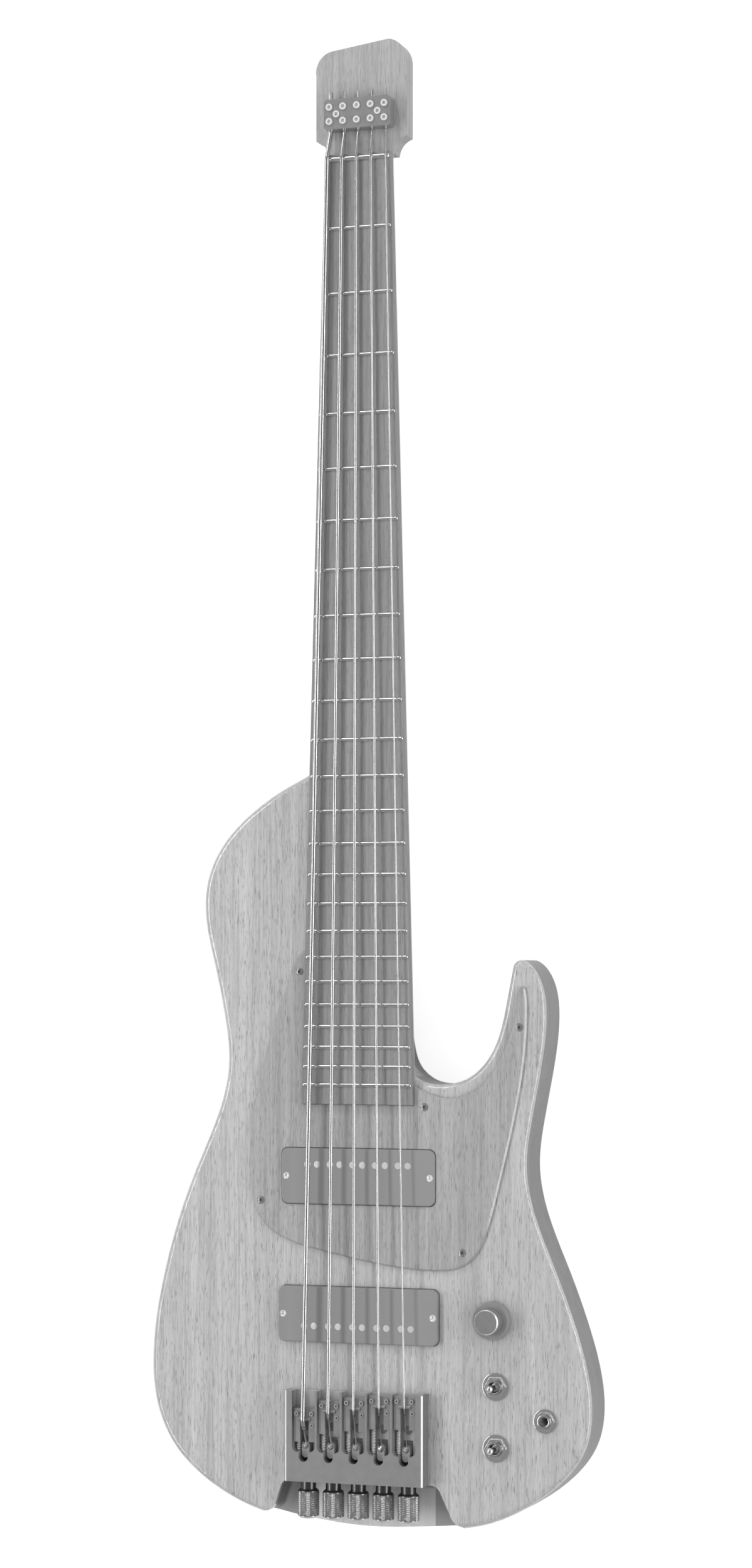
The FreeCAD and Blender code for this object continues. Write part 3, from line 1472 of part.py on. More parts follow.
def make_wiring():
    """The leads from the pickups, the bridge and the jack, and their bores in the wood."""
    level = size("wire_height")
    gap = size("seat_gap") + size("wire_radius")
    pot = on_body(POT_SHARES) + UP * level
    ends = []
    for long_side, along, pitch, side in PICKUPS.values():
        start = Vector(size(long_side) / 2, size(along) - max(side, 0) * size("wire_shift"), level)
        ends.append((start, pot, size("wire_start_gap"), size("pot_radius") + gap))
    jack = on_body(JACK_SHARES) + UP * value_of(CAVITY_TOP + " - jack_depth / 2")
    switch = on_body(TOGGLE_SHARES[0])
    switch_side = Vector(switch.x + size("toggle_width") / 2, switch.y, jack.z)
    ends.append((jack, switch_side, size("jack_radius") + gap, gap))
    earth = Vector(size("bridge_width") / 2, 0, value_of(BRIDGE_BOTTOM) + size("earth_drop"))
    ends.append((earth, Vector(switch.x - size("toggle_width") / 2, switch.y, level), gap, gap))
    leads = [straight_lead(*item) for item in ends]
    wires = feature("wiring", Part.makeCompound([wire for wire, bore in leads]))
    return wires, feature("wire_bores", Part.makeCompound([bore for wire, bore in leads]))


# Body and strap cups


def cup_frames(outline):
    """A point on the body's edge and the way out of it, for each strap cup."""
    frames = []
    for shares in CUP_SHARES:
        target = Part.Vertex(on_body(shares))
        edge = min(outline.Edges, key=lambda item: item.distToShape(target)[0])
        parameter = edge.Curve.parameter(on_body(shares))
        point = edge.valueAt(parameter)
        outward = edge.tangentAt(parameter).cross(UP).normalize()
        if outward.dot(Vector(point.x, point.y - size("neck_pickup_place"), 0)) < 0:
            outward = outward * -1
        frames.append((point + UP * (size("body_thickness") / 2), outward))
    return frames


def make_cups(outline):
    """Flush strap cups in the bass edge, and the holes that they fill."""
    cups = []
    holes = []
    for point, outward in cup_frames(outline):
        inner = point - outward * size("cup_depth")
        mouth = size("cup_depth") - size("cup_sink")
        shell = Part.makeCylinder(size("cup_radius"), mouth, inner, outward)
        floor = inner + outward * size("cup_floor")
        cups.append(shell.cut(Part.makeCylinder(size("cup_bore_radius"), mouth, floor, outward)))
        reach = size("cup_depth") + size("overrun")
        holes.append(Part.makeCylinder(size("cup_radius"), reach, inner, outward))
        print("strap cup at", list(point - outward * size("cup_sink")), "facing", list(outward))
    return feature("strap_cups", Part.makeCompound(cups)), feature("strap_holes", Part.makeCompound(holes))


def make_notch():
    """The space at the tail for the tuner knobs, with a coved floor."""
    back = value_of(BRIDGE_BACK)

    def spot(shares):
        return Vector(shares[0] * size("bridge_width"), back - shares[1] * size("bridge_length"), 0)

    far = NOTCH_MOUTH_SHARE
    pieces = [
        (spot((-far, far)),),
        tuple(spot(shares) for shares in NOTCH_BASS_FLARE_SHARES),
        tuple(spot(shares) for shares in NOTCH_BASS_CORNER_SHARES),
        tuple(spot(shares) for shares in NOTCH_TREBLE_CORNER_SHARES),
        tuple(spot(shares) for shares in NOTCH_TREBLE_FLARE_SHARES),
        (spot((far, far)),),
    ]
    space = extruded("notch_space", chain(pieces), "notch_floor", FRONT + " + overrun")

    def is_cove(edge):
        bounds = edge.BoundBox
        flat = lies_at("notch_floor")(edge)
        return flat and bounds.YMin > spot(NOTCH_TREBLE_FLARE_SHARES[-1]).y - size("shaft_gap")

    return rounded("notch_coved", space, "notch_cove", is_cove)


def make_body(outline, tools):
    """The body: its outline raised and rounded, less everything that is let into it."""
    slab = extruded("body_slab", outline, "0", FRONT)

    def is_rim(edge):
        return lies_at("0")(edge) or lies_at(FRONT)(edge)

    shape = rounded("body_rounded", slab, "edge_round", is_rim)
    above = FRONT + " + overrun"
    half = "bridge_width / 2"
    spaces = {
        "pocket": extruded("neck_pocket", neck_plan(0), "body_thickness - heel_depth", above),
        "neck_well": pickup_well("neck_pickup", "seat_gap", PICKUP_BOTTOM + " - seat_gap", above),
        "bridge_well": pickup_well("bridge_pickup", "seat_gap", PICKUP_BOTTOM + " - seat_gap", above),
        "bridge_seat": box("bridge_seat", ("-" + half, BRIDGE_BACK, BRIDGE_BOTTOM),
                           (half, "bridge_front", above)),
        "notch": make_notch(),
        "cavity": extruded("cavity_space", cavity_wire(), "-overrun", CAVITY_TOP),
        "cover_seat": extruded("cover_seat", cavity_wire().makeOffset2D(size("cover_lip")),
                               "-overrun", "cover_thickness"),
    }
    seat = rod("ferrule_seat", "ferrule_radius", "ferrule_height + overrun", ("0", "0", "-overrun"))
    spaces["ferrules"] = copies("ferrule_seats", seat, neck_bolt_places())
    hole = rod("bolt_hole", "bolt_radius + shaft_gap", FRONT, ("0", "0", "0"))
    spaces["bolt_holes"] = copies("bolt_holes", hole, neck_bolt_places())
    bushings = [("pot", POT_SHARES, "pot_bushing_radius"), ("jack", JACK_SHARES, "jack_bushing_radius")]
    for number, shares in enumerate(TOGGLE_SHARES, start=1):
        bushings.append(("toggle_%d" % number, shares, "toggle_bushing_radius"))
    for name, shares, radius in bushings:
        across, along = at_plan(shares)
        spaces[name + "_hole"] = rod(name + "_panel_hole", radius + " + shaft_gap",
                                     "cavity_roof + 2 * overrun",
                                     (across, along, CAVITY_TOP + " - overrun"))
    spaces.update(tools)
    names = list(spaces)
    for name in names[:-1]:
        shape = cut("body_less_" + name, shape, spaces[name])
    return cut("body", shape, spaces[names[-1]])


def build():
    """Make every piece and return the finished ones by name."""
    outline = smooth_wire([on_body(shares) for shares in BODY_SHARES])
    frets = make_frets()
    channel, truss_rod = make_truss()
    set_screws, set_screw_holes = make_clamp_screws()
    clamp_bolts, clamp_bolt_holes = make_clamp_bolts()
    neck_bolts = make_neck_bolts()
    guard_screws = make_guard_screws()
    pickup_screws = make_pickup_screws()
    poles = make_poles()
    bridge_screws = make_bridge_screws()
    adjusters = make_adjusters()
    cover_screws = make_cover_screws()
    wiring, wire_bores = make_wiring()
    cups, strap_holes = make_cups(outline)
    washers, nuts = make_washers_and_nuts()
    pieces = [
        frets, make_fretboard(frets), truss_rod, make_neck(outline, channel, clamp_bolts, neck_bolts),
        neck_bolts, make_neck_ferrules(), set_screws, clamp_bolts,
        make_clamp(set_screw_holes, clamp_bolt_holes), guard_screws, make_pickguard(guard_screws),
        pickup_screws, poles,
        bridge_screws, adjusters, make_bridge(bridge_screws, adjusters), make_springs(),
        cover_screws, make_cover(cover_screws), make_pot(), make_ring(), make_knob(),
        make_toggle_housings(), make_lever(1), make_lever(2), make_jack(), washers, nuts, cups, wiring,
    ]
    for name in PICKUPS:
        pieces.append(make_pickup(name, poles, pickup_screws))
    for index in range(len(STRING_NAMES)):
        screws, holes = make_saddle_screws(index)
        pieces += [screws, make_saddle(index, holes), make_string(index)]
        pieces += [make_carriage(index), make_tuner(index)]
    pieces.append(make_body(outline, {
        "guard_screws": guard_screws,
        "pickup_screws": pickup_screws,
        "bridge_screws": bridge_screws,
        "cover_screws": cover_screws,
        "strap_holes": strap_holes,
        "wire_bores": wire_bores,
    }))
    doc.recompute()
    return pieces


def check_and_write(pieces):
    """Stop on any failed object or bad shape, then write one file per piece."""
    failed = [item for item in doc.Objects if "Invalid" in item.State or "Error" in item.State]
    if failed:
        raise RuntimeError("failed: %s" % [(item.Name, item.getStatusString()) for item in failed])
    for item in pieces:
        if item.Shape.isNull() or not item.Shape.isValid() or not item.Shape.Solids:
            raise RuntimeError("bad shape: %s" % item.Label)
    for item in pieces:
        item.Shape.exportStep("parts/%s.step" % item.Label)
        print(item.Label, len(item.Shape.Solids), "solids", round(item.Shape.Volume), "cubic mm")


check_and_write(build())
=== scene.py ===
"""A headless five-string electric bass lying on its back, seen from the front and the treble side."""
import math

import bpy
from mathutils import Matrix, Vector


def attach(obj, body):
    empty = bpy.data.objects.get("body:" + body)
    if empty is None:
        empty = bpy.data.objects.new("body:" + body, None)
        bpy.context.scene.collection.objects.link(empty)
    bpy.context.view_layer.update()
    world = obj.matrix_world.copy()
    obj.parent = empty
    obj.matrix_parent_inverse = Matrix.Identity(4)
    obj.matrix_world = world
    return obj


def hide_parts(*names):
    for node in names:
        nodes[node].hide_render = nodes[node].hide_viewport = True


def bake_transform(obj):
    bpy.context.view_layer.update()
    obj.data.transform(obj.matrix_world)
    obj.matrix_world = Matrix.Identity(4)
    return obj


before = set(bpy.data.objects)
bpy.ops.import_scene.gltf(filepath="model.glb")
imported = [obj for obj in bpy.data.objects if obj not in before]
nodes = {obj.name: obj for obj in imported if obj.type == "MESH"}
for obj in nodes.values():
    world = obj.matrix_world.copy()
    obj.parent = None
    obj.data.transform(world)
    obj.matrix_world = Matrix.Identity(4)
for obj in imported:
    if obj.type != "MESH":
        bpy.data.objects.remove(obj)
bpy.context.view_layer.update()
bpy.ops.object.select_all(action="DESELECT")

# Places in metres, as the solids have them
STRING_NAMES = ["b", "e", "a", "d", "g"]
STRING_PITCH = 0.01852
SADDLE_SETBACK = {"b": 0.0144, "e": 0.0083, "a": 0.0056, "d": 0.0034, "g": 0.0030}
CONTACT_BACK = 0.004
SCREW_OFFSET = 0.0055
SPRING_REACH = 0.004
WOUND_END = 0.0062
WOUND_OVERLAP = 0.0012
TUNER_HEIGHT = 0.0403
KNOB_RADIUS = 0.00735
KNOB_BACK = -0.0883
KNOB_FRONT = -0.0681
COLLAR_LENGTH = 0.0014
KNURL_MARGIN = 0.0034
KNURL_LIFT = 0.00005
KNURL_HEIGHT = 0.00028
KNURL_COUNT = 44
KNURL_CUTS = 18
SCALE_LENGTH = 0.8636
BOARD_END = 0.2025
BOARD_NUT_WIDTH = 0.0482
BOARD_END_WIDTH = 0.0821
BOARD_EDGE_HEIGHT = 0.0425
DOT_FRETS = (3, 5, 7, 9, 12, 15, 17, 19, 21, 24)
DOT_RADIUS = 0.0011
DOT_DEPTH = 0.0008
DOT_SINK = 0.00032
DOT_PAIR = 0.004
TOP_SEAM = 0.0353
NOTCH_WALL = -0.062
NOTCH_FLOOR = 0.016
NOTCH_FLOOR_REACH = 0.0492
BRIDGE_TOP = 0.0515
BRIDGE_RAIL = 0.048
BRIDGE_EDGE = 0.0497
VOLUME_KNOB_TOP = 0.0553
JACK_SLEEVE_TOP = 0.0412

# Tones that stand beside a finish's own: a painted shade beside the notch floor, a pale grey for polished
# edges and painted highlights, a dark collar, and the turn of the crosses in the screw heads
NOTCH_PAINTED_SHADE_GREY = 0.36
POLISHED_OR_HIGHLIGHT_GREY = 0.9
COLLAR_GREY = 0.11
CROSS_TURN = 0.4

# The floor's paper
FLOOR_GREY = 0.45
FLOOR_GLOW = 0.82

# The viewpoint's lens and place, with lengths on the picture in its pixels
SENSOR_WIDTH = 36.0
PICTURE_HEIGHT = 2503.0
FOCAL_LENGTH = 5500.0
PICTURE_RISE = 308.7
VIEW_PLACE = (0.79347, 0.29245, 2.31676)
VIEW_RIGHT = (0.945912478, 0.00094799378, -0.324420537)
VIEW_UP = (-0.00105917178, 0.999999425, -0.000166113298)
VIEW_BACK = (0.324420193, 0.000500745719, 0.945912939)


# Finishes


def grey_tone(grey):
    return grey, grey, grey, 1.0


def new_finish(name, grey, roughness, metallic=0.0, specular=0.5):
    """A material with its plain values set, ready for a pattern."""
    finish = bpy.data.materials.new(name)
    finish.use_nodes = True
    shader = finish.node_tree.nodes["Principled BSDF"]
    shader.inputs["Base Color"].default_value = grey_tone(grey)
    shader.inputs["Roughness"].default_value = roughness
    shader.inputs["Metallic"].default_value = metallic
    shader.inputs["Specular IOR Level"].default_value = specular
    return finish


def shader_of(finish):
    return finish.node_tree.nodes["Principled BSDF"]


def lacquer(finish, weight, roughness):
    """A clear coat that draws a line of light along the eased edges."""
    shader_of(finish).inputs["Coat Weight"].default_value = weight
    shader_of(finish).inputs["Coat Roughness"].default_value = roughness
    return finish


def add_node(finish, kind):
    return finish.node_tree.nodes.new(kind)


def join(finish, source, target):
    finish.node_tree.links.new(source, target)


def place_of(finish, stretch):
    """Object coordinates, stretched by a scale on each axis."""
    spot = add_node(finish, "ShaderNodeTexCoord")
    mapping = add_node(finish, "ShaderNodeMapping")
    mapping.inputs["Scale"].default_value = stretch
    join(finish, spot.outputs["Object"], mapping.inputs["Vector"])
    return mapping.outputs["Vector"]


def axes_of(finish):
    """The place on the object, as its separate X, Y and Z."""
    spot = add_node(finish, "ShaderNodeTexCoord")
    parts = add_node(finish, "ShaderNodeSeparateXYZ")
    join(finish, spot.outputs["Object"], parts.inputs["Vector"])
    return parts.outputs["X"], parts.outputs["Y"], parts.outputs["Z"]


def cloud(finish, stretch, detail=3.0, roughness=0.55, distortion=0.0):
    """Noise on the object, as fine as the stretch on each axis."""
    noise = add_node(finish, "ShaderNodeTexNoise")
    noise.inputs["Scale"].default_value = 1.0
    noise.inputs["Detail"].default_value = detail
    noise.inputs["Roughness"].default_value = roughness
    noise.inputs["Distortion"].default_value = distortion
    join(finish, place_of(finish, stretch), noise.inputs["Vector"])
    return noise.outputs["Fac"]


def steps(finish, source, stops):
    """A grey ramp over a value, from place and grey pairs."""
    ramp = add_node(finish, "ShaderNodeValToRGB")
    points = ramp.color_ramp.elements
    while len(points) < len(stops):
        points.new(0.5)
    for point, (position, grey) in zip(points, stops):
        point.position = position
        point.color = grey_tone(grey)
    join(finish, source, ramp.inputs["Fac"])
    return ramp.outputs["Color"]


def blend_tones(finish, kind, share, first, second):
    """Two tones mixed or multiplied."""
    mixer = add_node(finish, "ShaderNodeMix")
    mixer.data_type = "RGBA"
    mixer.blend_type = kind
    mixer.clamp_result = True
    if isinstance(share, float):
        mixer.inputs[0].default_value = share
    else:
        join(finish, share, mixer.inputs[0])
    for value, socket in ((first, mixer.inputs[6]), (second, mixer.inputs[7])):
        if isinstance(value, tuple):
            socket.default_value = value
        else:
            join(finish, value, socket)
    return mixer.outputs[2]


def paint(finish, tone):
    join(finish, tone, shader_of(finish).inputs["Base Color"])


def relief(finish, height, strength, distance):
    """Fine surface relief from a pattern."""
    bump = add_node(finish, "ShaderNodeBump")
    bump.inputs["Strength"].default_value = strength
    bump.inputs["Distance"].default_value = distance
    join(finish, height, bump.inputs["Height"])
    join(finish, bump.outputs["Normal"], shader_of(finish).inputs["Normal"])


def gloss_range(finish, source, low, high):
    """Roughness that varies a little over the surface."""
    reach = add_node(finish, "ShaderNodeMapRange")
    reach.inputs["To Min"].default_value = low
    reach.inputs["To Max"].default_value = high
    join(finish, source, reach.inputs["Value"])
    join(finish, reach.outputs["Result"], shader_of(finish).inputs["Roughness"])


def grain(finish, dark, light, pore, pore_share=0.5):
    """Long open-pored grain along the instrument, and its relief."""
    bands = cloud(finish, (70.0, 2.2, 70.0), 4.0, 0.6, 0.4)
    fibres = cloud(finish, (520.0, 10.0, 520.0), 3.0, 0.6, 0.2)
    threads = cloud(finish, (1700.0, 45.0, 1700.0), 2.0, 0.5)
    pores = cloud(finish, (2500.0, 140.0, 2500.0), 1.0, 0.5)
    tone = steps(finish, bands, [(0.30, dark), (0.50, (dark + light) / 2), (0.70, light)])
    streaks = steps(finish, fibres, [(0.28, 0.74), (0.50, 0.93), (0.70, 1.0)])
    tone = blend_tones(finish, "MULTIPLY", 1.0, tone, streaks)
    lines = steps(finish, threads, [(0.28, 0.80), (0.50, 0.96), (0.70, 1.0)])
    tone = blend_tones(finish, "MULTIPLY", 1.0, tone, lines)
    holes = steps(finish, pores, [(0.30, 1.0), (0.41, 0.0)])
    tone = blend_tones(finish, "MIX", holes, tone, grey_tone(pore))
    depth = steps(finish, pores, [(0.30, 0.0), (0.42, 1.0)])
    relief(finish, depth, pore_share, 0.0002)
    return tone


def ramp_between(finish, source, start, end):
    """A value that goes from nothing to one between two places."""
    reach = add_node(finish, "ShaderNodeMapRange")
    reach.inputs["From Min"].default_value = start
    reach.inputs["From Max"].default_value = end
    join(finish, source, reach.inputs["Value"])
    return reach.outputs["Result"]


def either_side(finish, source):
    """A distance from the middle line, whichever side it is on."""
    distance = add_node(finish, "ShaderNodeMath")
    distance.operation = "ABSOLUTE"
    join(finish, source, distance.inputs[0])
    return distance.outputs["Value"]


def combined(finish, operation, first, second):
    """Two values made into one, such as their product or the larger of them."""
    result = add_node(finish, "ShaderNodeMath")
    result.operation = operation
    for value, socket in zip((first, second), result.inputs):
        if isinstance(value, float):
            socket.default_value = value
        else:
            join(finish, value, socket)
    return result.outputs["Value"]


def times(finish, first, second):
    return combined(finish, "MULTIPLY", first, second)


def make_body_wood():
    """A pale open-pored top on a darker core, by height, and a notch floor painted pale across its middle
    as fill light against the tuners' shadow, with a painted shade beside it standing in for sloping walls.
    """
    finish = new_finish("satin_ash_body", 0.5, 0.36, specular=0.5)
    top = grain(finish, 0.43, 0.55, 0.22, 0.3)
    core = steps(finish, cloud(finish, (300.0, 14.0, 300.0), 3.0), [(0.30, 0.17), (0.70, 0.21)])
    sideways, along, height = axes_of(finish)
    above = ramp_between(finish, height, TOP_SEAM, TOP_SEAM + 0.0005)
    behind = ramp_between(finish, along, NOTCH_WALL - 0.003, NOTCH_WALL - 0.006)
    low = ramp_between(finish, height, NOTCH_FLOOR + 0.003, NOTCH_FLOOR + 0.001)
    high = ramp_between(finish, height, NOTCH_FLOOR - 0.001, NOTCH_FLOOR - 0.0005)
    floor = times(finish, times(finish, behind, low), high)
    # Painted fill light and shade: the notch floor is painted paler across its middle to lift the tuners'
    # shadow, and darker beside it as a painted shade
    pale = steps(finish, cloud(finish, (300.0, 14.0, 300.0), 3.0), [(0.30, 0.62), (0.70, 0.74)])
    distance = either_side(finish, sideways)
    beside = ramp_between(finish, distance, NOTCH_FLOOR_REACH - 0.0005, NOTCH_FLOOR_REACH)
    pale = blend_tones(finish, "MIX", beside, pale, grey_tone(NOTCH_PAINTED_SHADE_GREY))
    below = blend_tones(finish, "MIX", floor, core, pale)
    paint(finish, blend_tones(finish, "MIX", above, below, top))
    lacquer(finish, 1.0, 0.1)
    join(finish, above, shader_of(finish).inputs["Coat Weight"])
    sheen = add_node(finish, "ShaderNodeMapRange")
    sheen.inputs["To Min"].default_value = 0.12
    sheen.inputs["To Max"].default_value = 0.5
    join(finish, above, sheen.inputs["Value"])
    join(finish, sheen.outputs["Result"], shader_of(finish).inputs["Specular IOR Level"])
    return finish


def make_plain_wood(name, dark, light, pore, pore_share, roughness, coat):
    finish = new_finish(name, light, roughness, specular=0.2)
    paint(finish, grain(finish, dark, light, pore, pore_share))
    return lacquer(finish, coat, 0.12)


def make_cover_plastic(name, grey, roughness):
    """Matte moulded plastic with a fine even tooth."""
    finish = new_finish(name, grey, roughness, specular=0.4)
    tooth = cloud(finish, (2600.0, 2600.0, 2600.0), 2.0)
    paint(finish, steps(finish, tooth, [(0.30, grey * 0.93), (0.70, grey * 1.07)]))
    relief(finish, tooth, 0.12, 0.0001)
    return finish


def polished_or_painted_edge(finish, shares, polished):
    """A pale edge where every share says so: bare polished metal when polished, and otherwise a painted
    highlight in a dull pale tone.
    """
    mask = shares[0]
    for share in shares[1:]:
        mask = times(finish, mask, share)
    shader = shader_of(finish)
    tone = shader.inputs["Base Color"].links[0].from_socket
    paint(finish, blend_tones(finish, "MIX", mask, tone, grey_tone(POLISHED_OR_HIGHLIGHT_GREY)))
    if polished:
        join(finish, mask, shader.inputs["Metallic"])
    return finish


def make_coated_metal(name, grey, roughness, painted_fill_grey=None):
    """Black satin coating, with the wear of handling in its gloss, and, when a fill grey is given, painted
    paler down in the bridge's channels to lift the shade there.
    """
    finish = new_finish(name, grey, roughness, specular=0.6)
    wear = cloud(finish, (160.0, 160.0, 160.0), 4.0)
    gloss_range(finish, wear, roughness - 0.06, roughness + 0.08)
    tooth = cloud(finish, (3200.0, 3200.0, 3200.0), 1.0)
    tone = steps(finish, wear, [(0.30, grey * 0.94), (0.70, grey * 1.06)])
    # Painted fill light: below the bridge's top and inside its rails the tone is painted paler, lifting
    # the shade in the channels
    if painted_fill_grey:
        sideways, _, height = axes_of(finish)
        depth = ramp_between(finish, height, BRIDGE_TOP - 0.001, BRIDGE_TOP - 0.010)
        inside = ramp_between(finish, either_side(finish, sideways), BRIDGE_RAIL, BRIDGE_RAIL - 0.0005)
        painted_fill_share = times(finish, depth, inside)
        tone = blend_tones(finish, "MIX", painted_fill_share, tone, grey_tone(painted_fill_grey))
    paint(finish, tone)
    relief(finish, tooth, 0.05, 0.00005)
    return lacquer(finish, 1.0, 0.12)


def make_bridge_metal():
    """The bridge's coating, dull on its two sides, with a painted highlight in pale grey along the bevels
    above them and painted fill light down in its channels.
    """
    finish = make_coated_metal("black_bridge_coating", 0.178, 0.4, 0.37)
    sideways, _, height = axes_of(finish)
    distance = either_side(finish, sideways)
    edge = ramp_between(finish, distance, BRIDGE_EDGE, BRIDGE_EDGE + 0.0001)
    upper = ramp_between(finish, height, BRIDGE_TOP - 0.0010, BRIDGE_TOP - 0.0009)
    face = ramp_between(finish, distance, BRIDGE_EDGE + 0.0002, BRIDGE_EDGE + 0.0001)
    join(finish, face, shader_of(finish).inputs["Coat Weight"])
    join(finish, face, shader_of(finish).inputs["Specular IOR Level"])
    # Painted highlight: a dull pale grey along the tops of the bevels, standing in for the light they
    # catch
    return polished_or_painted_edge(finish, [edge, upper], False)


def make_knob_metal():
    """The upper knob's coating, with a bright turned edge round its top."""
    finish = make_coated_metal("black_knob_coating", 0.172, 0.36)
    height = axes_of(finish)[2]
    lower = ramp_between(finish, height, VOLUME_KNOB_TOP - 0.00072, VOLUME_KNOB_TOP - 0.00066)
    upper = ramp_between(finish, height, VOLUME_KNOB_TOP - 0.00002, VOLUME_KNOB_TOP - 0.00008)
    return polished_or_painted_edge(finish, [lower, upper], True)


def make_bright_metal(name, grey, roughness, stretch=(900.0, 900.0, 900.0)):
    """Bright metal with fine polishing marks."""
    finish = new_finish(name, grey, roughness, metallic=1.0)
    marks = cloud(finish, stretch, 3.0)
    gloss_range(finish, marks, roughness - 0.05, roughness + 0.07)
    paint(finish, steps(finish, marks, [(0.25, grey * 0.93), (0.75, min(1.0, grey * 1.05))]))
    return finish


def make_tuner_metal():
    """Dull knurled metal, with a dark collar towards the bridge."""
    finish = make_bright_metal("knurled_tuner_metal", 0.36, 0.32)
    tone = shader_of(finish).inputs["Base Color"].links[0].from_socket
    collar_end = KNOB_FRONT - COLLAR_LENGTH
    collar = ramp_between(finish, axes_of(finish)[1], collar_end - 0.0002, collar_end + 0.0002)
    paint(finish, blend_tones(finish, "MIX", collar, tone, grey_tone(COLLAR_GREY)))
    return finish


def ridged(finish, axis, pitch, strength, depth):
    """Fine ridges along one axis, such as windings or a thread."""
    wave = add_node(finish, "ShaderNodeTexWave")
    wave.bands_direction = axis
    wave.inputs["Scale"].default_value = 1.0
    per_band = math.tau / 20.0
    join(finish, place_of(finish, (per_band / pitch,) * 3), wave.inputs["Vector"])
    relief(finish, wave.outputs["Fac"], strength, depth)
    return finish


def make_jack_steel():
    """Threaded steel at the mouth of the jack, and a pale insulating sleeve down its bore."""
    finish = ridged(make_bright_metal("jack_barrel_steel", 0.7, 0.18), "Z", 0.00075, 0.6, 0.0002)
    height = axes_of(finish)[2]
    steel = ramp_between(finish, height, JACK_SLEEVE_TOP - 0.0002, JACK_SLEEVE_TOP)
    join(finish, steel, shader_of(finish).inputs["Metallic"])
    return finish


body_wood = make_body_wood()
guard_wood = make_plain_wood("stained_guard_wood", 0.335, 0.425, 0.2, 0.3, 0.42, 0.8)
neck_wood = make_plain_wood("satin_neck_wood", 0.36, 0.43, 0.25, 0.15, 0.5, 0.15)
board_wood = make_plain_wood("dark_board_wood", 0.255, 0.30, 0.18, 0.12, 0.6, 0.0)
pickup_cover = make_cover_plastic("pickup_cover_plastic", 0.235, 0.5)
back_cover = make_cover_plastic("back_cover_plastic", 0.2, 0.5)
switch_case = make_cover_plastic("switch_case_plastic", 0.2, 0.5)
dot_plastic = make_cover_plastic("side_dot_plastic", 0.55, 0.4)
wire_jacket = make_cover_plastic("wire_jacket_rubber", 0.17, 0.6)
black_metal = make_coated_metal("black_coating", 0.19, 0.4)
bridge_metal = make_bridge_metal()
# The saddle, saddle screw, carriage and ball finishes carry painted fill light: their last number is the
# paler grey painted down in the channels
saddle_metal = make_coated_metal("black_saddle_coating", 0.178, 0.4, 0.3)
knob_metal = make_knob_metal()
ring_metal = make_coated_metal("black_ring_coating", 0.215, 0.36)
tuner_metal = make_tuner_metal()
dark_screw = make_coated_metal("dark_screw_steel", 0.16, 0.26)
saddle_screw = make_coated_metal("saddle_screw_steel", 0.3, 0.2, 0.4)
bright_steel = make_bright_metal("polished_fitting_steel", 0.84, 0.14)
fret_metal = make_bright_metal("polished_fret_metal", 0.7, 0.18, (120.0, 2400.0, 2400.0))
screw_steel = make_bright_metal("bright_screw_steel", 0.8, 0.2)
plated_steel = make_bright_metal("plated_screw_steel", 0.86, 0.25)
shader_of(plated_steel).inputs["Metallic"].default_value = 0.4
pole_steel = make_bright_metal("turned_pole_steel", 0.72, 0.42)
spring_steel = make_bright_metal("drawn_spring_wire", 0.95, 0.2)
shader_of(spring_steel).inputs["Metallic"].default_value = 0.25
carriage_metal = make_coated_metal("carriage_metal", 0.18, 0.3, 0.4)
ball_metal = make_coated_metal("dark_ball_metal", 0.2, 0.3, 0.34)
bright_ball = make_bright_metal("bright_ball_metal", 0.6, 0.25)
BALL_FINISH = {"b": ball_metal, "e": ball_metal, "a": ball_metal, "d": bright_ball, "g": ball_metal}
wound_string = ridged(make_bright_metal("wound_string_metal", 0.62, 0.16), "Y", 0.0004, 0.1, 0.00008)
thread_steel = ridged(make_bright_metal("threaded_bushing_steel", 0.66, 0.18), "Z", 0.00075, 0.6, 0.0002)
jack_steel = make_jack_steel()

# The solids that stay in view
FINISH_OF = {
    "body": body_wood,
    "neck": neck_wood,
    "fretboard": board_wood,
    "frets": fret_metal,
    "truss_rod": screw_steel,
    "clamp_set_screws": plated_steel,
    "clamp_bolts": plated_steel,
    "neck_ferrules": black_metal,
    "pickguard": guard_wood,
    "neck_pickup": pickup_cover,
    "bridge_pickup": pickup_cover,
    "pole_pieces": pole_steel,
    "bridge_screws": dark_screw,
    "control_cover": back_cover,
    "concentric_pot": switch_case,
    "strap_cups": black_metal,
    "intonation_screws": screw_steel,
    "wiring": wire_jacket,
    "tone_ring": ring_metal,
    "volume_knob": knob_metal,
    "toggle_lever_1": bright_steel,
    "toggle_lever_2": bright_steel,
}
for string in STRING_NAMES:
    FINISH_OF["tuner_knob_" + string] = tuner_metal
    FINISH_OF["carriage_" + string] = carriage_metal
    FINISH_OF["saddle_screws_" + string] = saddle_screw
for name, finish in FINISH_OF.items():
    nodes[name].data.materials.clear()
    nodes[name].data.materials.append(finish)


# Pieces made from the solids


def copy_of(node, name, finish):
    """A merged copy of a solid's mesh, as a piece of its own."""
    piece = bpy.data.objects.new(name, nodes[node].data.copy())
    bpy.context.scene.collection.objects.link(piece)
    piece.data.materials.clear()
    piece.data.materials.append(finish)
    pick(piece)
    bpy.ops.object.mode_set(mode="EDIT")
    bpy.ops.mesh.select_all(action="SELECT")
    bpy.ops.mesh.remove_doubles(threshold=1e-6)
    bpy.ops.object.mode_set(mode="OBJECT")
    return piece


def pick(piece):
    """Make a piece the only one selected."""
    bpy.ops.object.select_all(action="DESELECT")
    piece.select_set(True)
    bpy.context.view_layer.objects.active = piece


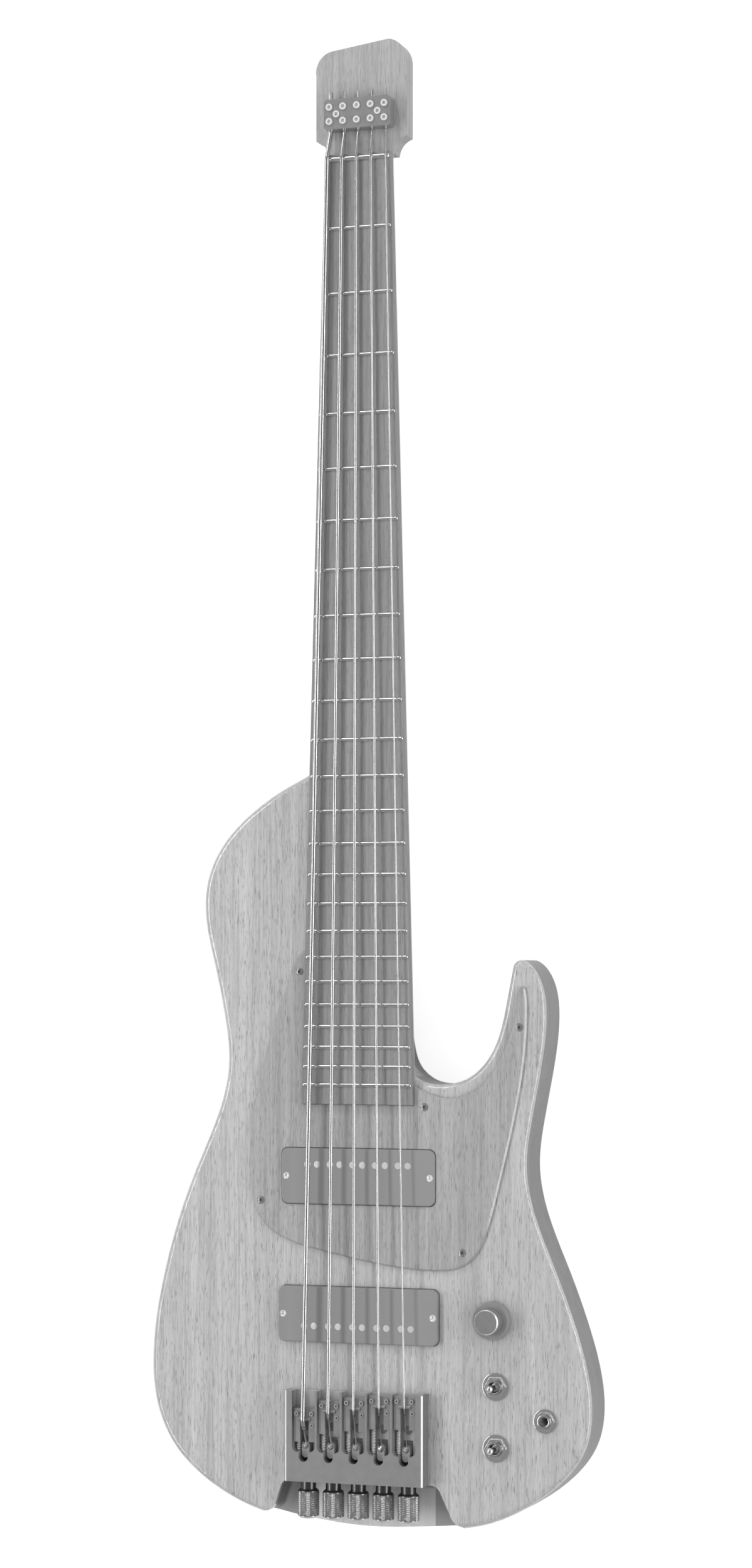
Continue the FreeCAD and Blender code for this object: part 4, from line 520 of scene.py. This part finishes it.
def keep_side(piece, place, normal):
    """Cut a piece by a plane and keep what lies ahead of the normal."""
    pick(piece)
    bpy.ops.object.mode_set(mode="EDIT")
    bpy.ops.mesh.select_all(action="SELECT")
    bpy.ops.mesh.bisect(plane_co=place, plane_no=normal, use_fill=True, clear_inner=True)
    bpy.ops.object.mode_set(mode="OBJECT")


def smooth(piece, degrees=35.0):
    pick(piece)
    bpy.ops.object.shade_smooth_by_angle(angle=math.radians(degrees))


def eased_copy(node, name, body, finish, width):
    """A copy of a solid with its sharp edges broken, in place of the solid."""
    piece = copy_of(node, name, finish)
    bpy.ops.object.mode_set(mode="EDIT")
    bpy.ops.mesh.dissolve_limited(angle_limit=math.radians(1.0))
    bpy.ops.object.mode_set(mode="OBJECT")
    edge = piece.modifiers.new("broken_edges", "BEVEL")
    edge.width = width
    edge.segments = 2
    edge.limit_method = "ANGLE"
    edge.angle_limit = math.radians(40.0)
    bpy.ops.object.modifier_apply(modifier=edge.name)
    smooth(piece, 32.0)
    even = piece.modifiers.new("even_faces", "WEIGHTED_NORMAL")
    even.keep_sharp = True
    even.weight = 100
    bpy.ops.object.modifier_apply(modifier=even.name)
    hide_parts(node)
    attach(piece, body)


def driven_copy(node, name, finish, kind, radius, depth, facing):
    """A copy of a group of screws with a drive cut in each head."""
    group = copy_of(node, name, finish)
    bpy.ops.object.mode_set(mode="EDIT")
    bpy.ops.mesh.select_all(action="SELECT")
    bpy.ops.mesh.separate(type="LOOSE")
    bpy.ops.object.mode_set(mode="OBJECT")
    screws = list(bpy.context.selected_objects)
    for screw in screws:
        corners = [Vector(corner) for corner in screw.bound_box]
        middle = sum(corners, Vector()) / len(corners)
        heights = [corner.z for corner in corners]
        top = max(heights) if facing > 0 else min(heights)
        place = (middle.x, middle.y, top)
        if kind == "hex":
            bpy.ops.mesh.primitive_cylinder_add(
                vertices=6, radius=radius, depth=2.0 * depth, location=place)
            cut_with(screw, bpy.context.active_object)
        else:
            for turn in (CROSS_TURN, CROSS_TURN + math.pi / 2):
                bpy.ops.mesh.primitive_cube_add(size=1.0, location=place, rotation=(0.0, 0.0, turn))
                bar = bpy.context.active_object
                bar.scale = (2.0 * radius, 0.5 * radius, 2.0 * depth)
                cut_with(screw, bar)
    bpy.ops.object.select_all(action="DESELECT")
    for screw in screws:
        screw.select_set(True)
    bpy.context.view_layer.objects.active = group
    bpy.ops.object.join()
    smooth(group, 32.0)
    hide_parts(node)
    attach(group, "instrument")


def cut_with(piece, cutter):
    """Take one piece out of another and throw the cutter away."""
    pick(cutter)
    bpy.ops.object.transform_apply(location=True, rotation=True, scale=True)
    pick(piece)
    taking = piece.modifiers.new("drive", "BOOLEAN")
    taking.operation = "DIFFERENCE"
    taking.solver = "EXACT"
    taking.object = cutter
    bpy.ops.object.modifier_apply(modifier=taking.name)
    bpy.data.objects.remove(cutter)


def across(index):
    return (index - STRING_NAMES.index("a")) * STRING_PITCH


def make_strings():
    """Each string in two lengths: the wound one over the saddle, and the tail with its ball."""
    for index, string in enumerate(STRING_NAMES):
        contact = -SADDLE_SETBACK[string] - CONTACT_BACK
        split = contact - WOUND_END
        wound = copy_of("string_" + string, "wound_string_" + string, wound_string)
        keep_side(wound, (0.0, split, 0.0), (0.0, 1.0, 0.0))
        smooth(wound)
        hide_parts("string_" + string)
        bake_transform(wound)
        tail = copy_of("string_" + string, "string_tail_" + string, BALL_FINISH[string])
        keep_side(tail, (0.0, split + WOUND_OVERLAP, 0.0), (0.0, -1.0, 0.0))
        smooth(tail)
        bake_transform(tail)


def make_springs():
    """One spring on each intonation screw, cut from the group of springs."""
    for index, string in enumerate(STRING_NAMES):
        spring = copy_of("intonation_springs", "intonation_spring_" + string, spring_steel)
        middle = across(index) - SCREW_OFFSET
        keep_side(spring, (middle - SPRING_REACH, 0.0, 0.0), (1.0, 0.0, 0.0))
        keep_side(spring, (middle + SPRING_REACH, 0.0, 0.0), (-1.0, 0.0, 0.0))
        smooth(spring, 60.0)
        if string == "b":
            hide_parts("intonation_springs")
        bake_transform(spring)


# New pieces


def make_knurls():
    """A knurled sleeve round each tuner knob's barrel."""
    length = KNOB_FRONT - KNOB_BACK - KNURL_MARGIN
    bpy.ops.object.select_all(action="DESELECT")
    bpy.ops.mesh.primitive_cylinder_add(
        vertices=KNURL_COUNT, radius=KNOB_RADIUS + KNURL_LIFT, depth=length, end_fill_type="NOTHING",
        location=(across(0), (KNOB_FRONT + KNOB_BACK) / 2, TUNER_HEIGHT),
        rotation=(math.pi / 2, 0.0, 0.0))
    sleeve = bpy.context.active_object
    bpy.ops.object.transform_apply(location=True, rotation=True, scale=True)
    bpy.ops.object.mode_set(mode="EDIT")
    bpy.ops.mesh.select_mode(type="EDGE")
    bpy.ops.mesh.select_all(action="DESELECT")
    bpy.ops.object.mode_set(mode="OBJECT")
    for edge in sleeve.data.edges:
        first, second = (sleeve.data.vertices[corner].co for corner in edge.vertices)
        edge.select = abs(first.y - second.y) > length / 2
    bpy.ops.object.mode_set(mode="EDIT")
    bpy.ops.mesh.subdivide_edgering(number_cuts=KNURL_CUTS, smoothness=0.0)
    bpy.ops.mesh.select_mode(type="FACE")
    bpy.ops.mesh.select_all(action="SELECT")
    bpy.ops.mesh.poke(offset=KNURL_HEIGHT)
    bpy.ops.object.mode_set(mode="OBJECT")
    sleeve.name = "tuner_knurl_b"
    sleeve.data.materials.append(tuner_metal)
    sleeves = [sleeve]
    for index, string in enumerate(STRING_NAMES[1:], start=1):
        copy = bpy.data.objects.new("tuner_knurl_" + string, sleeve.data.copy())
        bpy.context.scene.collection.objects.link(copy)
        copy.data.transform(Matrix.Translation((across(index) - across(0), 0.0, 0.0)))
        sleeves.append(copy)
    for piece, string in zip(sleeves, STRING_NAMES):
        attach(piece, "tuner_" + string)


def make_side_dots():
    """Small position dots let into the bass edge of the fingerboard."""
    dots = []
    bpy.ops.object.select_all(action="DESELECT")
    for number in DOT_FRETS:
        along = SCALE_LENGTH * (2.0 ** (-number / 12.0) + 2.0 ** (-(number - 1) / 12.0)) / 2.0
        for shift in ((-DOT_PAIR, DOT_PAIR) if number % 12 == 0 else (0.0,)):
            share = (SCALE_LENGTH - along - shift) / (SCALE_LENGTH - BOARD_END)
            edge = (BOARD_NUT_WIDTH + (BOARD_END_WIDTH - BOARD_NUT_WIDTH) * share) / 2.0
            bpy.ops.mesh.primitive_cylinder_add(
                vertices=24, radius=DOT_RADIUS, depth=DOT_DEPTH,
                location=(-edge + DOT_SINK, along + shift, BOARD_EDGE_HEIGHT),
                rotation=(0.0, math.pi / 2, 0.0))
            dot = bpy.context.active_object
            bpy.ops.object.transform_apply(location=True, rotation=True, scale=True)
            bpy.ops.object.mode_set(mode="EDIT")
            bpy.ops.mesh.select_all(action="SELECT")
            bpy.ops.mesh.bevel(offset=0.0001, segments=2, affect="EDGES")
            bpy.ops.object.mode_set(mode="OBJECT")
            dots.append(dot)
    bpy.ops.object.select_all(action="DESELECT")
    for dot in dots:
        dot.select_set(True)
    bpy.context.view_layer.objects.active = dots[0]
    bpy.ops.object.join()
    dots[0].name = "side_dots"
    dots[0].data.materials.append(dot_plastic)
    smooth(dots[0])
    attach(dots[0], "instrument")


make_strings()
make_springs()
make_knurls()
make_side_dots()
driven_copy("pickguard_screws", "socket_guard_screws", dark_screw, "hex", 0.0013, 0.0012, 1)
driven_copy("pickup_screws", "cross_pickup_screws", plated_steel, "cross", 0.0015, 0.0009, 1)
driven_copy("control_cover_screws", "cross_cover_screws", dark_screw, "cross", 0.0015, 0.0009, -1)
driven_copy("neck_bolts", "socket_neck_bolts", screw_steel, "hex", 0.002, 0.0018, -1)
eased_copy("bridge_base", "eased_bridge", "instrument", bridge_metal, 0.00022)
eased_copy("string_clamp", "eased_clamp", "instrument", black_metal, 0.0003)
eased_copy("panel_nuts", "dress_nuts", "instrument", bright_steel, 0.0007)
eased_copy("panel_washers", "dress_washers", "instrument", bright_steel, 0.00045)
eased_copy("jack_socket", "eased_jack", "instrument", jack_steel, 0.0004)
eased_copy("toggle_housings", "eased_bushings", "instrument", thread_steel, 0.0004)
for string in STRING_NAMES:
    eased_copy("saddle_" + string, "eased_saddle_" + string, "saddle_body_" + string, saddle_metal,
               0.0002)


# Floor, light and camera


def make_floor():
    """A pale floor that stays white to the eye and keeps a soft shadow."""
    bpy.ops.object.select_all(action="DESELECT")
    bpy.ops.mesh.primitive_plane_add(size=14.0, location=(0.0, 0.3, -0.0004))
    floor = bpy.context.active_object
    floor.name = "pale_floor"
    bpy.ops.object.transform_apply(location=True, rotation=True, scale=True)
    finish = bpy.data.materials.new("pale_floor_paper")
    finish.use_nodes = True
    tree = finish.node_tree
    tree.nodes.remove(tree.nodes["Principled BSDF"])
    paper = add_node(finish, "ShaderNodeBsdfDiffuse")
    paper.inputs["Color"].default_value = grey_tone(FLOOR_GREY)
    glow = add_node(finish, "ShaderNodeEmission")
    rays = add_node(finish, "ShaderNodeLightPath").outputs
    seen = combined(finish, "MAXIMUM", rays["Is Camera Ray"], rays["Is Glossy Ray"])
    seen = combined(finish, "MAXIMUM", seen, rays["Is Transmission Ray"])
    join(finish, times(finish, seen, FLOOR_GLOW), glow.inputs["Strength"])
    both = add_node(finish, "ShaderNodeAddShader")
    join(finish, paper.outputs["BSDF"], both.inputs[0])
    join(finish, glow.outputs["Emission"], both.inputs[1])
    join(finish, both.outputs["Shader"], tree.nodes["Material Output"].inputs["Surface"])
    floor.data.materials.append(finish)


def make_sky():
    """Soft light from all round, white where it is seen, and dim overhead in reflections."""
    world = bpy.data.worlds.new("studio_sky")
    bpy.context.scene.world = world
    world.use_nodes = True
    tree = world.node_tree
    sky = tree.nodes["Background"]
    rays = tree.nodes.new("ShaderNodeLightPath")
    spot = tree.nodes.new("ShaderNodeTexCoord")
    parts = tree.nodes.new("ShaderNodeSeparateXYZ")
    tree.links.new(spot.outputs["Generated"], parts.inputs["Vector"])
    rise = tree.nodes.new("ShaderNodeMapRange")
    rise.inputs["From Min"].default_value = 0.0
    rise.inputs["From Max"].default_value = 1.0
    rise.inputs["To Min"].default_value = 0.55
    rise.inputs["To Max"].default_value = 0.75
    tree.links.new(parts.outputs["Z"], rise.inputs["Value"])
    dim = tree.nodes.new("ShaderNodeMapRange")
    dim.inputs["From Min"].default_value = 0.2
    dim.inputs["From Max"].default_value = 0.75
    dim.inputs["To Min"].default_value = 0.4
    dim.inputs["To Max"].default_value = 0.26
    tree.links.new(parts.outputs["Z"], dim.inputs["Value"])
    mirrored = tree.nodes.new("ShaderNodeMix")
    mirrored.data_type = "FLOAT"
    tree.links.new(rays.outputs["Is Glossy Ray"], mirrored.inputs[0])
    tree.links.new(rise.outputs["Result"], mirrored.inputs[2])
    tree.links.new(dim.outputs["Result"], mirrored.inputs[3])
    shine = tree.nodes.new("ShaderNodeMix")
    shine.data_type = "FLOAT"
    tree.links.new(rays.outputs["Is Camera Ray"], shine.inputs[0])
    tree.links.new(mirrored.outputs[0], shine.inputs[2])
    shine.inputs[3].default_value = 1.0
    tree.links.new(shine.outputs[0], sky.inputs["Strength"])
    sky.inputs["Color"].default_value = grey_tone(1.0)


def add_lamp(name, place, aim, width, height, watts):
    """A soft rectangular lamp that looks at a point."""
    lamp = bpy.data.lights.new(name, "AREA")
    lamp.shape = "RECTANGLE"
    lamp.size = width
    lamp.size_y = height
    lamp.energy = watts
    holder = bpy.data.objects.new(name, lamp)
    bpy.context.scene.collection.objects.link(holder)
    holder.location = place
    holder.rotation_euler = (Vector(aim) - Vector(place)).to_track_quat("-Z", "Y").to_euler()


def make_camera():
    """The photograph's viewpoint, with its lens and its raised frame."""
    lens = bpy.data.cameras.new("viewpoint")
    holder = bpy.data.objects.new("viewpoint", lens)
    bpy.context.scene.collection.objects.link(holder)
    lens.sensor_width = SENSOR_WIDTH
    lens.sensor_fit = "AUTO"
    lens.lens = SENSOR_WIDTH * FOCAL_LENGTH / PICTURE_HEIGHT
    lens.shift_y = PICTURE_RISE / PICTURE_HEIGHT
    lens.clip_end = 50.0
    turn = Matrix((VIEW_RIGHT, VIEW_UP, VIEW_BACK)).transposed().to_4x4()
    holder.matrix_world = Matrix.Translation(VIEW_PLACE) @ turn
    bpy.context.scene.camera = holder


make_floor()
make_sky()
add_lamp("right_softbox", (2.35, 0.3, 0.88), (0.0, 0.3, 0.0), 2.6, 0.5, 34.0)
add_lamp("left_softbox", (-1.7, 0.3, 1.85), (0.0, 0.3, 0.0), 2.6, 0.4, 30.0)
add_lamp("head_softbox", (-0.75, 2.5, 1.3), (0.0, 0.4, 0.0), 1.0, 0.5, 16.0)
make_camera()
bpy.context.scene.view_settings.view_transform = "Standard"
